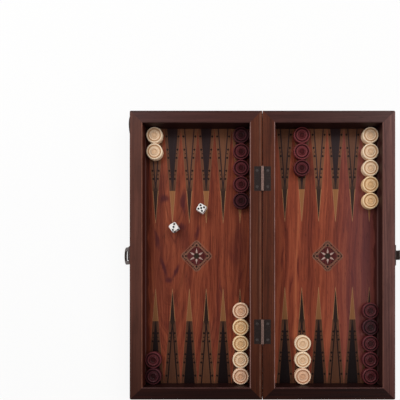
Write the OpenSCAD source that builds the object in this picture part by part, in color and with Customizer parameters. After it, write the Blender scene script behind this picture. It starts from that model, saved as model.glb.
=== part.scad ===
/* [Board] */
// Length of the board, along the seam
board_len = 480; // [470:1:500]
// Width of one half, from the seam to its outer side
half_w = 220.5; // [216:0.5:232]
// Height of one half, from the table to the rail tops
half_h = 32; // [31:0.5:36]
// Width of the rails along the seam
hinge_rail_w = 20.5; // [19:0.5:22]
// Width of the rails along the outer sides
outer_rail_w = 21; // [19:0.5:22]
// Width of the rails at the ends
end_rail_w = 20; // [19:0.5:22]
// Thickness of the outer panel, and depth of its bevelled edge
panel_t = 7; // [6:0.5:7.5]
// Thickness of the playing panel inside the tray
play_t = 3; // [2.5:0.5:4]
// Radius of the upright outer corners
corner_r = 3.5; // [1:0.5:5]
// Softened edge along the rail tops
rail_edge = 0.7; // [0.4:0.1:1]
// Gap between the two halves, open or closed
seam_gap = 0.8; // [0.6:0.1:1.2]

/* [Inlay] */
// Depth of every inlaid piece of veneer
inlay_t = 0.6; // [0.5:0.1:0.8]
// Length of a point, from its base to its tip
point_len = 164; // [155:1:172]
// Free strip between the row of points and the side rails
point_margin = 1.7; // [1.2:0.1:2.5]
// Gap between neighbouring points at their bases
point_gap = 0.6; // [0.4:0.1:1]
// Share of a point's width that its core takes at the base
core_share = 0.64; // [0.55:0.01:0.7]
// Share of a point's length at which its core changes wood
core_turn = 0.645; // [0.6:0.005:0.7]
// Width of a core where it ends
core_end = 2; // [1:0.1:2.4]
// Width of the two dark lines along a light core
core_line = 2; // [1.5:0.1:2.2]
// How far the right half's points lie outward of their tray's middle
right_points_out = 3.2; // [0:0.1:3.5]
// How far the right half's points lie toward the north end
right_points_north = 3; // [0:0.1:4]
// Width of the light strip along the points' bases
base_strip = 1.6; // [1.2:0.1:2.2]
// How far the left half's rosette lies outward of its tray's middle
left_rosette_out = 2.1; // [0:0.1:3]
// How far the right half's rosette lies outward of its tray's middle
right_rosette_out = 4.2; // [0:0.1:5]
// Distance from a rosette's centre to its straight edges
rosette_edge = 18.2; // [17:0.2:19]
// Distance from a rosette's centre to the centres of its lobes
rosette_reach = 18; // [17:0.2:19]
// Radius of a rosette's lobes
rosette_lobe = 7.5; // [7:0.1:8]
// Size of the dark field in a rosette
rosette_field = 23; // [20:0.5:24]
// Size of a chess square on the outer face
chess_square = 40.5; // [39:0.5:41]
// Line left round each light chess square
chess_line = 0.5; // [0.4:0.1:0.8]

/* [Hinges] */
// Length of a hinge
hinge_len = 40.5; // [38:0.5:48]
// Width of an open hinge
hinge_w = 27.7; // [26:0.1:30]
// Distance of each hinge from the middle of the board
hinge_at = 127; // [110:1:140]
// Thickness of the hinge leaves and latch plates
leaf_t = 1.4; // [1.2:0.1:1.6]
// Radius of the hinge barrel
barrel_r = 2.5; // [2.3:0.1:2.8]
// Radius of the hinge pins
pin_r = 1.2; // [1:0.1:1.3]

/* [Latch] */
// Width of the swinging loop
loop_w = 29.4; // [28:0.2:31]
// Width of the opening in the loop
loop_open = 16.6; // [15.6:0.2:17]
// Length of the loop, from its pin to its free edge
loop_len = 22; // [21.8:0.1:22.4]
// Thickness of the loop
loop_t = 1.8; // [1.6:0.1:2]
// Height that the loop's finger rim stands up
rim_h = 2; // [1.5:0.1:2.2]
// Distance of the loop's pin below the rail tops
pivot_drop = 13; // [12.6:0.1:13.2]
// Lean of the resting loop, away from straight down
loop_lean = 41; // [40:1:44]
// Width of the catch plate
catch_w = 34; // [33:0.5:36]

/* [Playing pieces] */
// Thickness of a checker
checker_t = 8.5; // [7:0.5:10]
// Room between checkers on neighbouring points
checker_room = 1.5; // [1.2:0.1:2.5]
// Gap between checkers that stand in a row
checker_gap = 0.3; // [0.3:0.1:0.6]
// Size of a die
die_size = 13; // [10:0.5:14]
// Place of the die that shows five, across the board from the seam
die_five_x = -102.7; // [-110:0.1:-90]
// Place of the die that shows five, along the board from its middle
die_five_y = 80.2; // [60:0.2:100]
// Place of the die that shows three, across the board from the seam
die_three_x = -149.4; // [-160:0.2:-140]
// Place of the die that shows three, along the board from its middle
die_three_y = 48.2; // [40:0.2:60]
// Turn of the die that shows five
die_five_turn = -31; // [-45:1:45]
// Turn of the die that shows three
die_three_turn = 33; // [-45:1:45]

/* [Plaque] */
// Length of the bare oval plaque
plaque_len = 36; // [32:0.5:38]
// Height of the bare oval plaque
plaque_h = 24.4; // [22:0.2:24.6]
// Distance of the plaque's centre from the end of the board
plaque_inset = 22; // [22:0.5:30]

/* [Hidden] */
$fn = 64;
// Running clearance of a hole over its pin
run_fit = 0.05;
// Clearance round the let-in hinge leaves
let_in = 0.1;
// Clearance between faces that pass each other
pass_gap = 0.4;
// Overlap that lets one solid cut or join another cleanly
cut = 0.01;
seam_x = seam_gap / 2;
fold_z = half_h + seam_gap / 2;
play_z = panel_t + play_t;
rail_h = half_h - panel_t;
tray_x0 = seam_x + hinge_rail_w;
tray_x1 = half_w - outer_rail_w;
tray_y = board_len / 2 - end_rail_w;
tray_mid = (tray_x0 + tray_x1) / 2;
point_pitch = (tray_x1 - tray_x0 - 2 * point_margin) / 6;
point_w = point_pitch - point_gap;
// Share of its length at which a point is cut off blunt
tip_share = 0.99;
// Shares of a point's length where its dark tip begins and ends, and of the width it takes
dark_tip_from = 0.585;
dark_tip_to = 0.95;
dark_tip_share = 0.76;
// Width at which a piece of veneer that runs to a point is cut off blunt
sliver = 0.4;
// Strip that the outermost inlays leave free at the panel's edge
panel_rim = 0.4;
// How far a point's woods run on below its base, as much as any end rail can need
run_out_len = base_strip + right_points_north;
checker_d = point_pitch - checker_room;
die_round = die_size * 0.74;
// Hinge barrel: two outer knuckles, and a longer middle one
knuckle_gap = 0.2;
knuckle_len = (hinge_len - 2 * knuckle_gap) / 3.2;
middle_len = hinge_len - 2 * knuckle_len - 2 * knuckle_gap;
leaf_w = hinge_w / 2;
// Countersunk screw that fastens leaves and plates
screw_r = 1;
screw_head = 2.2;
screw_len = 9;
slot_w = 0.5;
slot_d = 0.4;
screw_x = leaf_w * 0.64;
screw_y = hinge_len * 0.33;
// Latch, measured outward from a half's side face
latch_pin_r = 1;
eye_r = 2.4;
pivot_z = half_h - pivot_drop;
// Room between the loop's eyes and the plate behind them
eye_room = 0.2;
pivot_out = leaf_t + eye_r + eye_room;
// Room between the loop's arms and the block, both sides together
arm_room = 1;
block_w = loop_open - arm_room;
block_z1 = half_h - 6.4;
// How much lower than the loop's eyes the block's face is
block_drop = 0.4;
base_w = loop_w + 0.6;
plate_z0 = half_h - 16;
plate_top = half_h - 0.6;
bar_w = 3.3;
bow = 5;
bow_r = (pow(loop_w / 2, 2) + pow(bow, 2)) / (2 * bow);
corner_cut = 3;
rim_t = 1.4;
tongue_back = half_h - 2.9;
tongue_top = half_h + 4.1;
tongue_out = pivot_out + 2.4;
tongue_t = 1.8;
// How far the hook behind the tongue reaches down, and its thickness
hook = 1.2;
hook_t = 1;
tongue_ease = 0.6;
catch_h = 18.9;
catch_z0 = plate_top - catch_h;
catch_screw_y = 12.5;
catch_screw_z = half_h - 13.5;
base_screw_y = 11;
base_screw_z = half_h - 8;
plate_r = 3;
// Seam's distance from the origin, which is under the middle of the board and its fittings
loop_out = pivot_out + loop_len * sin(loop_lean) + loop_t / 2 * cos(loop_lean);
seam_at = round(5 * (loop_out - tongue_out)) / 10;
// Plaque and its nails
plaque_t = 1;
plaque_rim = 1.4;
rim_rise = 0.5;
plaque_z = panel_t + rail_h / 2;
nail_r = 1.3;
nail_spread = plaque_len * 0.43;
nail_head_t = 0.5;
// Length of a nail below its head
nail_len = 6;
corner_nail_y = board_len / 2 - 7;
corner_nail_z = half_h - 10;
// Free room beside a checker on a point next to a rail
aside_room = point_margin + checker_room / 2 - checker_gap;
// Rows of checkers: [side, how far out from the seam in points, end, how many, light or not,
// how far the row stands to the right of its point, in shares of that room]
rows = [
    [-1, 5, 1, 2, true, 0],
    [-1, 0, 1, 5, false, 0.9],
    [-1, 5, -1, 2, false, -1],
    [-1, 0, -1, 5, true, 0.55],
    [1, 1, 1, 3, false, 0.9],
    [1, 5, 1, 5, true, 1],
    [1, 1, -1, 3, true, 1.6],
    [1, 5, -1, 5, false, 1]
];
// Every checker's centre in the tray's plane, row by row from the end rail inward
function places(light) = [
    for (r = rows) if (r[4] == light)
        for (i = [0 : r[3] - 1]) [
            r[0] * (tray_x0 + point_margin + (r[1] + 0.5) * point_pitch) + r[5] * aside_room,
            r[2] * (tray_y - checker_gap - checker_d / 2 - i * (checker_d + checker_gap))
        ]
];
light_places = places(true);
dark_places = places(false);

// Puts what is drawn round the seam in its place beside the origin
module at_seam() {
    translate([seam_at, 0, 0]) children();
}

// Puts a shape drawn for the right half on side 1 (right) or -1 (left)
module on_side(side) {
    at_seam() {
        if (side < 0) mirror([1, 0, 0]) children();
        else children();
    }
}

// Plan of one half, with its two outer corners rounded
module half_plan() {
    translate([seam_x, -board_len / 2]) square([half_w - seam_x - corner_r, board_len]);
    translate([half_w / 2, -board_len / 2 + corner_r])
        square([half_w / 2, board_len - 2 * corner_r]);
    for (end = [-1, 1])
        translate([half_w - corner_r, end * (board_len / 2 - corner_r)]) circle(corner_r);
}

// Section of a rail of some width, with softened top edges
module rail_section(width) {
    polygon([
        [0, 0], [width, 0], [width, rail_h - rail_edge], [width - rail_edge, rail_h],
        [rail_edge, rail_h], [0, rail_h - rail_edge]
    ]);
}

// Keeps what lies inside a plan outline, from the panel up to the rail tops
module within_plan() {
    intersection() {
        children(0);
        translate([0, 0, panel_t]) linear_extrude(rail_h) children(1);
    }
}

// Rail along the outer side, mitred at both ends
module outer_rail_shape() {
    within_plan() {
        translate([tray_x1, board_len / 2, panel_t])
            rotate([90, 0, 0]) linear_extrude(board_len) rail_section(outer_rail_w);
        intersection() {
            half_plan();
            polygon([
                [tray_x1, -tray_y], [half_w, -board_len / 2],
                [half_w, board_len / 2], [tray_x1, tray_y]
            ]);
        }
    }
}

// Rail along the north end, mitred at both ends
module end_rail_shape() {
    within_plan() {
        translate([0, board_len / 2, panel_t])
            rotate([90, 0, 90]) linear_extrude(half_w)
                mirror([1, 0]) rail_section(end_rail_w);
        intersection() {
            half_plan();
            polygon([
                [seam_x, board_len / 2], [half_w, board_len / 2],
                [tray_x1, tray_y], [tray_x0, tray_y]
            ]);
        }
    }
}

// Rail along the seam, mitred at both ends and cut for the hinges
module hinge_rail_shape() {
    difference() {
        within_plan() {
            translate([seam_x, board_len / 2, panel_t])
                rotate([90, 0, 0]) linear_extrude(board_len) rail_section(hinge_rail_w);
            polygon([
                [seam_x, -board_len / 2], [tray_x0, -tray_y],
                [tray_x0, tray_y], [seam_x, board_len / 2]
            ]);
        }
        for (end = [-1, 1]) translate([0, end * hinge_at, 0]) {
            translate([0, -hinge_len / 2 - let_in, half_h - leaf_t])
                cube([leaf_w + let_in, hinge_len + 2 * let_in, leaf_t + 1]);
            translate([0, 0, fold_z]) rotate([90, 0, 0])
                cylinder(r = barrel_r + pass_gap, h = hinge_len + 2 * let_in, center = true);
        }
        hinge_screw_places() screw_hole();
    }
}

// Places its child, pointing up, at each hinge screw on the right half
module hinge_screw_places() {
    for (end = [-1, 1], part = [-1, 1])
        translate([screw_x, end * hinge_at + part * screw_y, half_h]) children();
}

// Hole that a screw's shank fills
module screw_hole() {
    translate([0, 0, -screw_len]) cylinder(r = screw_r, h = screw_len + 1);
}

// Cone in a plate that a screw's head fills
module screw_seat() {
    translate([0, 0, -leaf_t]) cylinder(r1 = screw_r, r2 = screw_head, h = leaf_t);
}

// Countersunk screw with a slotted head, its top at the origin
module screw() {
    difference() {
        union() {
            screw_seat();
            translate([0, 0, -screw_len]) cylinder(r = screw_r, h = screw_len);
        }
        translate([-screw_head, -slot_w / 2, -slot_d]) cube([2 * screw_head, slot_w, slot_d + 1]);
    }
}

// Squares of one half's outer face that are light, as a plan
module pearl_plan(side) {
    for (c = [0 : 3], r = [0 : 7])
        if ((c + r) % 2 == (side > 0 ? 1 : 0))
            translate([
                seam_x + c * chess_square + chess_line / 2,
                (r - 4) * chess_square + chess_line / 2
            ])
                square(chess_square - chess_line);
}

// Outer panel, bevelled on its three free edges and cut for the pearl squares
module outer_panel_shape(side) {
    slope = panel_t * sqrt(2);
    difference() {
        linear_extrude(panel_t) half_plan();
        translate([half_w - panel_t, 0, 0]) rotate([0, -45, 0])
            translate([0, -board_len, -slope]) cube([slope * 2, board_len * 2, slope]);
        for (end = [-1, 1])
            translate([0, end * (board_len / 2 - panel_t), 0]) rotate([end * 45, 0, 0])
                translate([-half_w, end < 0 ? -slope * 2 : 0, -slope])
                    cube([half_w * 3, slope * 2, slope]);
        translate([0, 0, -1]) linear_extrude(inlay_t + 1) pearl_plan(side);
    }
}

// Width of a point at a share of its length
function width_at(share) = point_w * (1 - share);

// Distance from the seam to where the points of one half begin, and to its rosette
function points_x(side) = tray_x0 + point_margin + (side > 0 ? right_points_out : 0);
// How far north the points of one half lie
function points_north(side) = side > 0 ? right_points_north : 0;
function rosette_x(side) = tray_mid + (side > 0 ? right_rosette_out : left_rosette_out);

// A strip that is centred on a point, between two shares of its length, with a width at each
module strip(from, to, from_w, to_w) {
    polygon([
        [-from_w / 2, from * point_len],
        [from_w / 2, from * point_len],
        [to_w / 2, to * point_len],
        [-to_w / 2, to * point_len]
    ]);
}

// The straight stretch of a strip between its point's base and the end rail
module run_out(width) {
    translate([-width / 2, -run_out_len]) square([width, run_out_len + cut]);
}

// Dark wood in a point: a narrowing core, or a tip with two lines below it
module point_dark(dark_base) {
    core_w = width_at(0) * core_share;
    tip_w = width_at(core_turn) * dark_tip_share;
    light_w = core_w - 2 * core_line;
    if (dark_base) {
        strip(0, core_turn, core_w, core_end);
        run_out(core_w);
    } else {
        strip(dark_tip_from, core_turn, sliver, tip_w);
        strip(core_turn, dark_tip_to, tip_w, width_at(dark_tip_to) * dark_tip_share);
        difference() {
            union() {
                strip(0, core_turn, core_w, core_end);
                run_out(core_w);
            }
            strip(0, core_turn * (light_w - sliver) / (core_w - core_end), light_w, sliver);
            translate([0, -1]) run_out(light_w);
            run_out(light_w);
        }
    }
}

// Places its child at each point's base on the right half, tip toward the middle
module point_places(side, dark_base) {
    for (end = [-1, 1], i = [0 : 5])
        if (((i + (side > 0 ? 0 : 1) + (end > 0 ? 0 : 1)) % 2 == 1) == dark_base)
            translate([
                points_x(side) + (i + 0.5) * point_pitch,
                end * (tray_y - base_strip) + points_north(side)
            ])
                mirror([0, end > 0 ? 1 : 0]) children();
}

// Outline of a rosette, a square on its corner with a lobe at each corner
module rosette_plan() {
    intersection() {
        rotate(45) square(2 * rosette_edge, center = true);
        circle(rosette_reach + rosette_lobe / 2);
    }
    for (a = [0 : 90 : 270])
        rotate(a) translate([rosette_reach, 0]) circle(rosette_lobe);
}

// Keeps what lies inside the tray of one half, up to the strip along its outer edge
module within_tray() {
    intersection() {
        union() children();
        translate([tray_x0, -tray_y]) square([tray_x1 - tray_x0 - panel_rim, 2 * tray_y]);
    }
}

// All dark wood of one half, as a plan
module dark_plan(side) {
    within_tray()
        for (base = [true, false]) point_places(side, base) point_dark(base);
    translate([rosette_x(side), 0]) rotate(45) square(rosette_field, center = true);
}

// Everything that is inlaid in one half's playing panel, as a plan
module inlay_plan(side) {
    within_tray() {
        for (base = [true, false]) point_places(side, base) {
            strip(0, tip_share, width_at(0), width_at(tip_share));
            run_out(width_at(0));
        }
        for (end = [-1, 1])
            translate([points_x(side), end > 0 ? tray_y - base_strip - cut : -tray_y])
                square([6 * point_pitch, base_strip + cut]);
    }
    translate([rosette_x(side), 0]) rosette_plan();
}

module play_panel_shape(side) {
    difference() {
        translate([tray_x0, -tray_y, panel_t])
            cube([tray_x1 - tray_x0, 2 * tray_y, play_t]);
        translate([0, 0, play_z - inlay_t]) linear_extrude(inlay_t + 1) inlay_plan(side);
    }
}

module light_inlay_shape(side) {
    translate([0, 0, play_z - inlay_t]) linear_extrude(inlay_t)
        difference() {
            inlay_plan(side);
            dark_plan(side);
        }
}

module dark_inlay_shape(side) {
    translate([0, 0, play_z - inlay_t]) linear_extrude(inlay_t) dark_plan(side);
}

// Round stretch of the hinge barrel, from one place along the seam to another
module knuckle(from, length, radius) {
    translate([0, from + length, fold_z]) rotate([90, 0, 0]) cylinder(r = radius, h = length);
}

// Leaf of one hinge on the right half; the middle leaf holds the middle knuckle
module leaf(middle) {
    y0 = -hinge_len / 2;
    y1 = y0 + knuckle_len + knuckle_gap;
    y2 = y1 + middle_len + knuckle_gap;
    difference() {
        union() {
            translate([0, y0, half_h - leaf_t]) cube([leaf_w, hinge_len, leaf_t]);
            if (middle) {
                knuckle(y1, middle_len, barrel_r);
            } else {
                knuckle(y0, knuckle_len, barrel_r);
                knuckle(y2, knuckle_len, barrel_r);
            }
        }
        if (middle) {
            knuckle(y0 - 1, knuckle_len + knuckle_gap + 1, barrel_r + pass_gap);
            knuckle(y2 - knuckle_gap, knuckle_len + knuckle_gap + 1, barrel_r + pass_gap);
        } else {
            knuckle(y1 - knuckle_gap, middle_len + 2 * knuckle_gap, barrel_r + pass_gap);
        }
        knuckle(y0 - 1, hinge_len + 2, middle ? pin_r + run_fit : pin_r);
    }
}

// Both leaves of one half, with their screw seats
module leaves(middle) {
    difference() {
        for (end = [-1, 1]) translate([0, end * hinge_at, 0]) leaf(middle);
        hinge_screw_places() {
            screw_seat();
            screw_hole();
        }
    }
}

// Stands its child on the right half's side face: x runs up the face, y along it, z outward
module on_side_face() {
    translate([half_w, 0, 0]) rotate([0, -90, 0]) mirror([0, 0, 1]) children();
}

// Plate outline on the side face, with rounded corners away from the seam
module plate_plan(z0, z1, width) {
    translate([z0 + plate_r, -width / 2]) square([z1 - z0 - plate_r, width]);
    translate([z0, -width / 2 + plate_r]) square([z1 - z0, width - 2 * plate_r]);
    for (end = [-1, 1])
        translate([z0 + plate_r, end * (width / 2 - plate_r)]) circle(plate_r);
}

// Pairs of screws on the side face, their heads flush with a plate
module side_screw_places(z, y) {
    on_side_face()
        for (end = [-1, 1]) translate([z, end * y, leaf_t]) children();
}

// Block between the loop's arms, drawn on the side face, with its outer edges eased
module block_shape() {
    ease = 1;
    top = pivot_out + eye_r - block_drop;
    rotate([90, 0, 0]) linear_extrude(block_w, center = true)
        polygon([
            [plate_z0, 0], [block_z1, 0], [block_z1, top - ease],
            [block_z1 - ease, top], [plate_z0 + ease, top], [plate_z0, top - ease]
        ]);
}

module latch_base_shape() {
    difference() {
        on_side_face() {
            linear_extrude(leaf_t) plate_plan(plate_z0, plate_top, base_w);
            block_shape();
        }
        on_side_face() translate([pivot_z, 0, pivot_out]) rotate([90, 0, 0])
            cylinder(r = latch_pin_r, h = loop_w, center = true);
        side_screw_places(base_screw_z, base_screw_y) {
            screw_seat();
            screw_hole();
        }
    }
}

// Outline of the loop in its own plane, from its pin at the origin along x
module loop_plan(length) {
    intersection() {
        translate([length - bow_r, 0]) circle(bow_r, $fn = 96);
        polygon([
            [0, -loop_w / 2], [length - bow - corner_cut / 2, -loop_w / 2],
            [length, -loop_w / 2 + corner_cut + bow / 2],
            [length, loop_w / 2 - corner_cut - bow / 2],
            [length - bow - corner_cut / 2, loop_w / 2], [0, loop_w / 2]
        ]);
    }
}

// Swinging loop in its own frame: x from its pin to its free edge, z outward
module loop_shape() {
    difference() {
        union() {
            translate([0, 0, -loop_t / 2]) linear_extrude(loop_t) loop_plan(loop_len);
            translate([0, 0, -loop_t / 2]) linear_extrude(loop_t + rim_h)
                difference() {
                    loop_plan(loop_len);
                    loop_plan(loop_len - rim_t);
                }
            rotate([90, 0, 0]) cylinder(r = eye_r, h = loop_w, center = true);
        }
        translate([-eye_r - 1, -loop_open / 2, -eye_r - 1])
            cube([loop_len - bar_w + eye_r + 1, loop_open, 2 * eye_r + 2]);
        rotate([90, 0, 0]) cylinder(r = latch_pin_r + run_fit, h = loop_w + 2, center = true);
    }
}

module latch_catch_shape() {
    inner = tongue_out - tongue_t;
    difference() {
        on_side_face() {
            linear_extrude(leaf_t) plate_plan(catch_z0, plate_top, catch_w);
            rotate([90, 0, 0]) linear_extrude(block_w, center = true)
                polygon([
                    [tongue_back, 0], [plate_top, 0], [plate_top, inner],
                    [tongue_top, inner], [tongue_top, tongue_out - tongue_ease],
                    [tongue_top - tongue_ease, tongue_out], [tongue_back - hook, tongue_out],
                    [tongue_back - hook, tongue_out - hook_t],
                    [tongue_back, tongue_out - hook_t - tongue_ease]
                ]);
        }
        side_screw_places(catch_screw_z, catch_screw_y) {
            screw_seat();
            screw_hole();
        }
    }
}

// Oval of four arcs, with its long axis along y
module oval_plan(length, height) {
    long = length / 2;
    short = height / 2;
    end_r = short * 0.78;
    side_r = (pow(long - end_r, 2) + pow(short, 2) - pow(end_r, 2)) / (2 * (short - end_r));
    turn = side_r * (long - end_r) / (side_r - end_r);
    for (end = [-1, 1]) translate([0, end * (long - end_r)]) circle(end_r);
    intersection() {
        translate([side_r - short, 0]) circle(side_r);
        translate([short - side_r, 0]) circle(side_r);
        square([height, 2 * turn], center = true);
    }
}

// Round-headed nail, its head resting on the origin's plane
module nail() {
    dome_r = nail_r * 1.6;
    intersection() {
        translate([0, 0, nail_head_t - dome_r]) sphere(dome_r);
        cylinder(r = nail_r, h = nail_head_t + 1);
    }
    translate([0, 0, -nail_len]) cylinder(r = nail_r / 2, h = nail_len + cut);
}

module plaque_shape() {
    y = board_len / 2 - plaque_inset;
    on_side_face() {
        translate([plaque_z, y, 0]) {
            difference() {
                linear_extrude(plaque_t + rim_rise) oval_plan(plaque_len, plaque_h);
                translate([0, 0, plaque_t]) linear_extrude(2)
                    oval_plan(plaque_len - 2 * plaque_rim, plaque_h - 2 * plaque_rim);
                for (end = [-1, 1]) translate([0, end * nail_spread, -1])
                    cylinder(r = nail_r / 2, h = 4);
            }
            for (end = [-1, 1]) translate([0, end * nail_spread, plaque_t]) nail();
        }
        translate([corner_nail_z, -corner_nail_y, 0]) nail();
    }
}

// Holes that the plaque's nails and the corner nail fill in the outer rail
module nail_holes() {
    on_side_face() {
        for (end = [-1, 1])
            translate([
                plaque_z, board_len / 2 - plaque_inset + end * nail_spread, plaque_t - nail_len
            ])
                cylinder(r = nail_r / 2, h = nail_len);
        translate([corner_nail_z, -corner_nail_y, -nail_len])
            cylinder(r = nail_r / 2, h = nail_len + 1);
    }
}

// Turned disc, alike on both faces, its lower face at the origin
module checker_shape() {
    r = checker_d / 2;
    half = checker_t / 2;
    // Height of the turned face at shares of the radius: dish, bead, field, groove, land
    face = [
        [0, half - 0.7], [0.28, half - 0.7], [0.33, half - 0.2], [0.4, half - 0.2],
        [0.45, half - 0.8], [0.6, half - 0.8], [0.64, half - 0.35], [0.69, half - 0.35],
        [0.73, half - 1], [0.77, half - 1], [0.81, half], [0.94, half], [1, half - 0.9]
    ];
    n = len(face) - 1;
    translate([0, 0, half]) rotate_extrude()
        polygon(concat(
            [for (p = face) [p[0] * r, p[1]]],
            [for (i = [n : -1 : 0]) [face[i][0] * r, -face[i][1]]]
        ));
}

// Places of the pips on a face, in steps from its middle
function pips(n) = concat(
    n % 2 == 1 ? [[0, 0]] : [],
    n > 1 ? [[-1, -1], [1, 1]] : [],
    n > 3 ? [[-1, 1], [1, -1]] : [],
    n == 6 ? [[-1, 0], [1, 0]] : []
);

// Die with rounded corners and hollow pips; faces hold the counts for top, then round the sides
module die_shape(top, sides) {
    pip_r = die_size * 0.13;
    sink = pip_r * 0.35;
    step = die_size * 0.265;
    turns = [[0, 0, 0], [90, 0, 0], [90, 0, 90], [90, 0, 180], [90, 0, 270], [180, 0, 0]];
    counts = [top, sides[0], sides[1], 7 - sides[0], 7 - sides[1], 7 - top];
    difference() {
        intersection() {
            cube(die_size, center = true);
            sphere(die_round);
        }
        for (i = [0 : 5]) rotate(turns[i])
            for (p = pips(counts[i]))
                translate([p[0] * step, p[1] * step, die_size / 2 + sink]) sphere(pip_r);
    }
}

module die_five() {
    color("ivory") at_seam() translate([die_five_x, die_five_y, play_z + die_size / 2])
        rotate([0, 0, die_five_turn]) die_shape(5, [1, 3]);
}

module die_three() {
    color("ivory") at_seam() translate([die_three_x, die_three_y, play_z + die_size / 2])
        rotate([0, 0, die_three_turn]) die_shape(3, [6, 5]);
}

module outer_rail(side) {
    color("saddlebrown") on_side(side) difference() {
        outer_rail_shape();
        if (side < 0) {
            side_screw_places(base_screw_z, base_screw_y) screw_hole();
            nail_holes();
        } else {
            side_screw_places(catch_screw_z, catch_screw_y) screw_hole();
        }
    }
}

module hinge_rail(side) {
    color("saddlebrown") on_side(side) hinge_rail_shape();
}

module north_rail(side) {
    color("saddlebrown") on_side(side) end_rail_shape();
}

module south_rail(side) {
    color("saddlebrown") on_side(side) mirror([0, 1, 0]) end_rail_shape();
}

module outer_panel(side) {
    color("sienna") on_side(side) outer_panel_shape(side);
}

module pearl_squares(side) {
    color("wheat") on_side(side) linear_extrude(inlay_t) pearl_plan(side);
}

module play_panel(side) {
    color("brown") on_side(side) play_panel_shape(side);
}

module light_inlays(side) {
    color("peru") on_side(side) light_inlay_shape(side);
}

module dark_inlays(side) {
    color("#2e2422") on_side(side) dark_inlay_shape(side);
}

module left_hinge_leaves() {
    color("dimgray") on_side(-1) leaves(false);
}

module right_hinge_leaves() {
    color("dimgray") on_side(1) leaves(true);
}

module hinge_pins() {
    color("rosybrown") at_seam()
        for (end = [-1, 1]) translate([0, end * hinge_at, 0])
            knuckle(-hinge_len / 2, hinge_len, pin_r);
}

module left_screws() {
    color("darkgoldenrod") on_side(-1) {
        hinge_screw_places() screw();
        side_screw_places(base_screw_z, base_screw_y) screw();
    }
}

module right_screws() {
    color("darkgoldenrod") on_side(1) {
        hinge_screw_places() screw();
        side_screw_places(catch_screw_z, catch_screw_y) screw();
    }
}

module latch_base() {
    color("dimgray") on_side(-1) latch_base_shape();
}

module latch_pin() {
    color("rosybrown") on_side(-1) on_side_face()
        translate([pivot_z, 0, pivot_out]) rotate([90, 0, 0])
            cylinder(r = latch_pin_r, h = loop_w, center = true);
}

module latch_loop() {
    color("dimgray") on_side(-1) on_side_face()
        translate([pivot_z, 0, pivot_out]) rotate([0, loop_lean - 180, 0]) loop_shape();
}

module latch_catch() {
    color("dimgray") on_side(1) latch_catch_shape();
}

module plaque() {
    color("darkslategray") on_side(-1) plaque_shape();
}

module light_checker(i) {
    color("burlywood") at_seam()
        translate([light_places[i][0], light_places[i][1], play_z]) checker_shape();
}

module dark_checker(i) {
    color("maroon") at_seam()
        translate([dark_places[i][0], dark_places[i][1], play_z]) checker_shape();
}

outer_rail(-1);  // left_outer_rail
hinge_rail(-1);  // left_hinge_rail
north_rail(-1);  // left_north_rail
south_rail(-1);  // left_south_rail
outer_panel(-1);  // left_outer_panel
pearl_squares(-1);  // left_pearl_squares
play_panel(-1);  // left_play_panel
light_inlays(-1);  // left_light_inlays
dark_inlays(-1);  // left_dark_inlays
outer_rail(1);  // right_outer_rail
hinge_rail(1);  // right_hinge_rail
north_rail(1);  // right_north_rail
south_rail(1);  // right_south_rail
outer_panel(1);  // right_outer_panel
pearl_squares(1);  // right_pearl_squares
play_panel(1);  // right_play_panel
light_inlays(1);  // right_light_inlays
dark_inlays(1);  // right_dark_inlays
left_hinge_leaves();
right_hinge_leaves();
hinge_pins();
left_screws();
right_screws();
latch_base();
latch_pin();
latch_loop();
latch_catch();
plaque();
die_five();
die_three();
for (i = [0 : 14]) light_checker(i);
for (i = [0 : 14]) dark_checker(i);
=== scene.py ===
"""Looks of a folding wooden backgammon board, open on a pale table and seen from straight above.

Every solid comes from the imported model. This file gives each one its finish, and adds the thin veneers that
are let in flush: edges and beads of the points, the rosettes, and the border round the chessboard. The paint
in the dice's pips is made here too.
"""

from __future__ import annotations

import logging
import math
from collections.abc import Iterable, Mapping, Sequence
from dataclasses import dataclass, field
from enum import Enum
from itertools import pairwise
from typing import Any

import bmesh
import bpy
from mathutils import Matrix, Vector


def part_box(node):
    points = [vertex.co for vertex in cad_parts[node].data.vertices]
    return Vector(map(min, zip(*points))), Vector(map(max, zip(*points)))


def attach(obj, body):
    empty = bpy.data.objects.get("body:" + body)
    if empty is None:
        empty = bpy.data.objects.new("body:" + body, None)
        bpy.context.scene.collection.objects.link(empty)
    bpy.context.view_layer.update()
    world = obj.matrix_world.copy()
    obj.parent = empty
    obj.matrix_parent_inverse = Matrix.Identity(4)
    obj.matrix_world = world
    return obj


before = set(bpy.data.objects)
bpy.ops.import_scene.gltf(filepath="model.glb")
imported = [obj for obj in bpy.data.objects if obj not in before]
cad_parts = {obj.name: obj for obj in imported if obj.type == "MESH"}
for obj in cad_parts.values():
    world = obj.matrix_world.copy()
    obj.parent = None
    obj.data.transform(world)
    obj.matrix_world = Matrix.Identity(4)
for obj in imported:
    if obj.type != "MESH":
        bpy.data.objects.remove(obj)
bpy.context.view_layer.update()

log = logging.getLogger("board")

MM = 0.001
Point = tuple[float, float]
# Values of a pattern, or sums of several, where something begins and where it is full
Span = tuple[float, float]
Colour = tuple[float, float, float, float]
Stops = tuple[tuple[float, str], ...]
Tree = bpy.types.NodeTree
Node = bpy.types.Node
# What can be linked into an input: a socket, or a node whose first output is meant
Link = bpy.types.NodeSocket | bpy.types.Node
Inputs = Mapping[int | str, Any] | Sequence[Any]


class Half(Enum):
    """The two halves of the board, by the sign of their x, measured from the seam."""

    LEFT = -1
    RIGHT = 1

    @property
    def word(self) -> str:
        """Word that starts the names of this half's nodes."""
        return self.name.lower()

    @property
    def body(self) -> str:
        """Body that this half's pieces ride on."""
        return f"{self.word}_half"


class GrainAxis(Enum):
    """Direction that a piece's fibres run in, as its turn about the upright axis."""

    ALONG_Y = 0.0
    ALONG_X = math.pi / 2


class Facing(Enum):
    """Side of a panel that a thin veneer is let into."""

    UP = 1
    DOWN = -1


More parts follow.
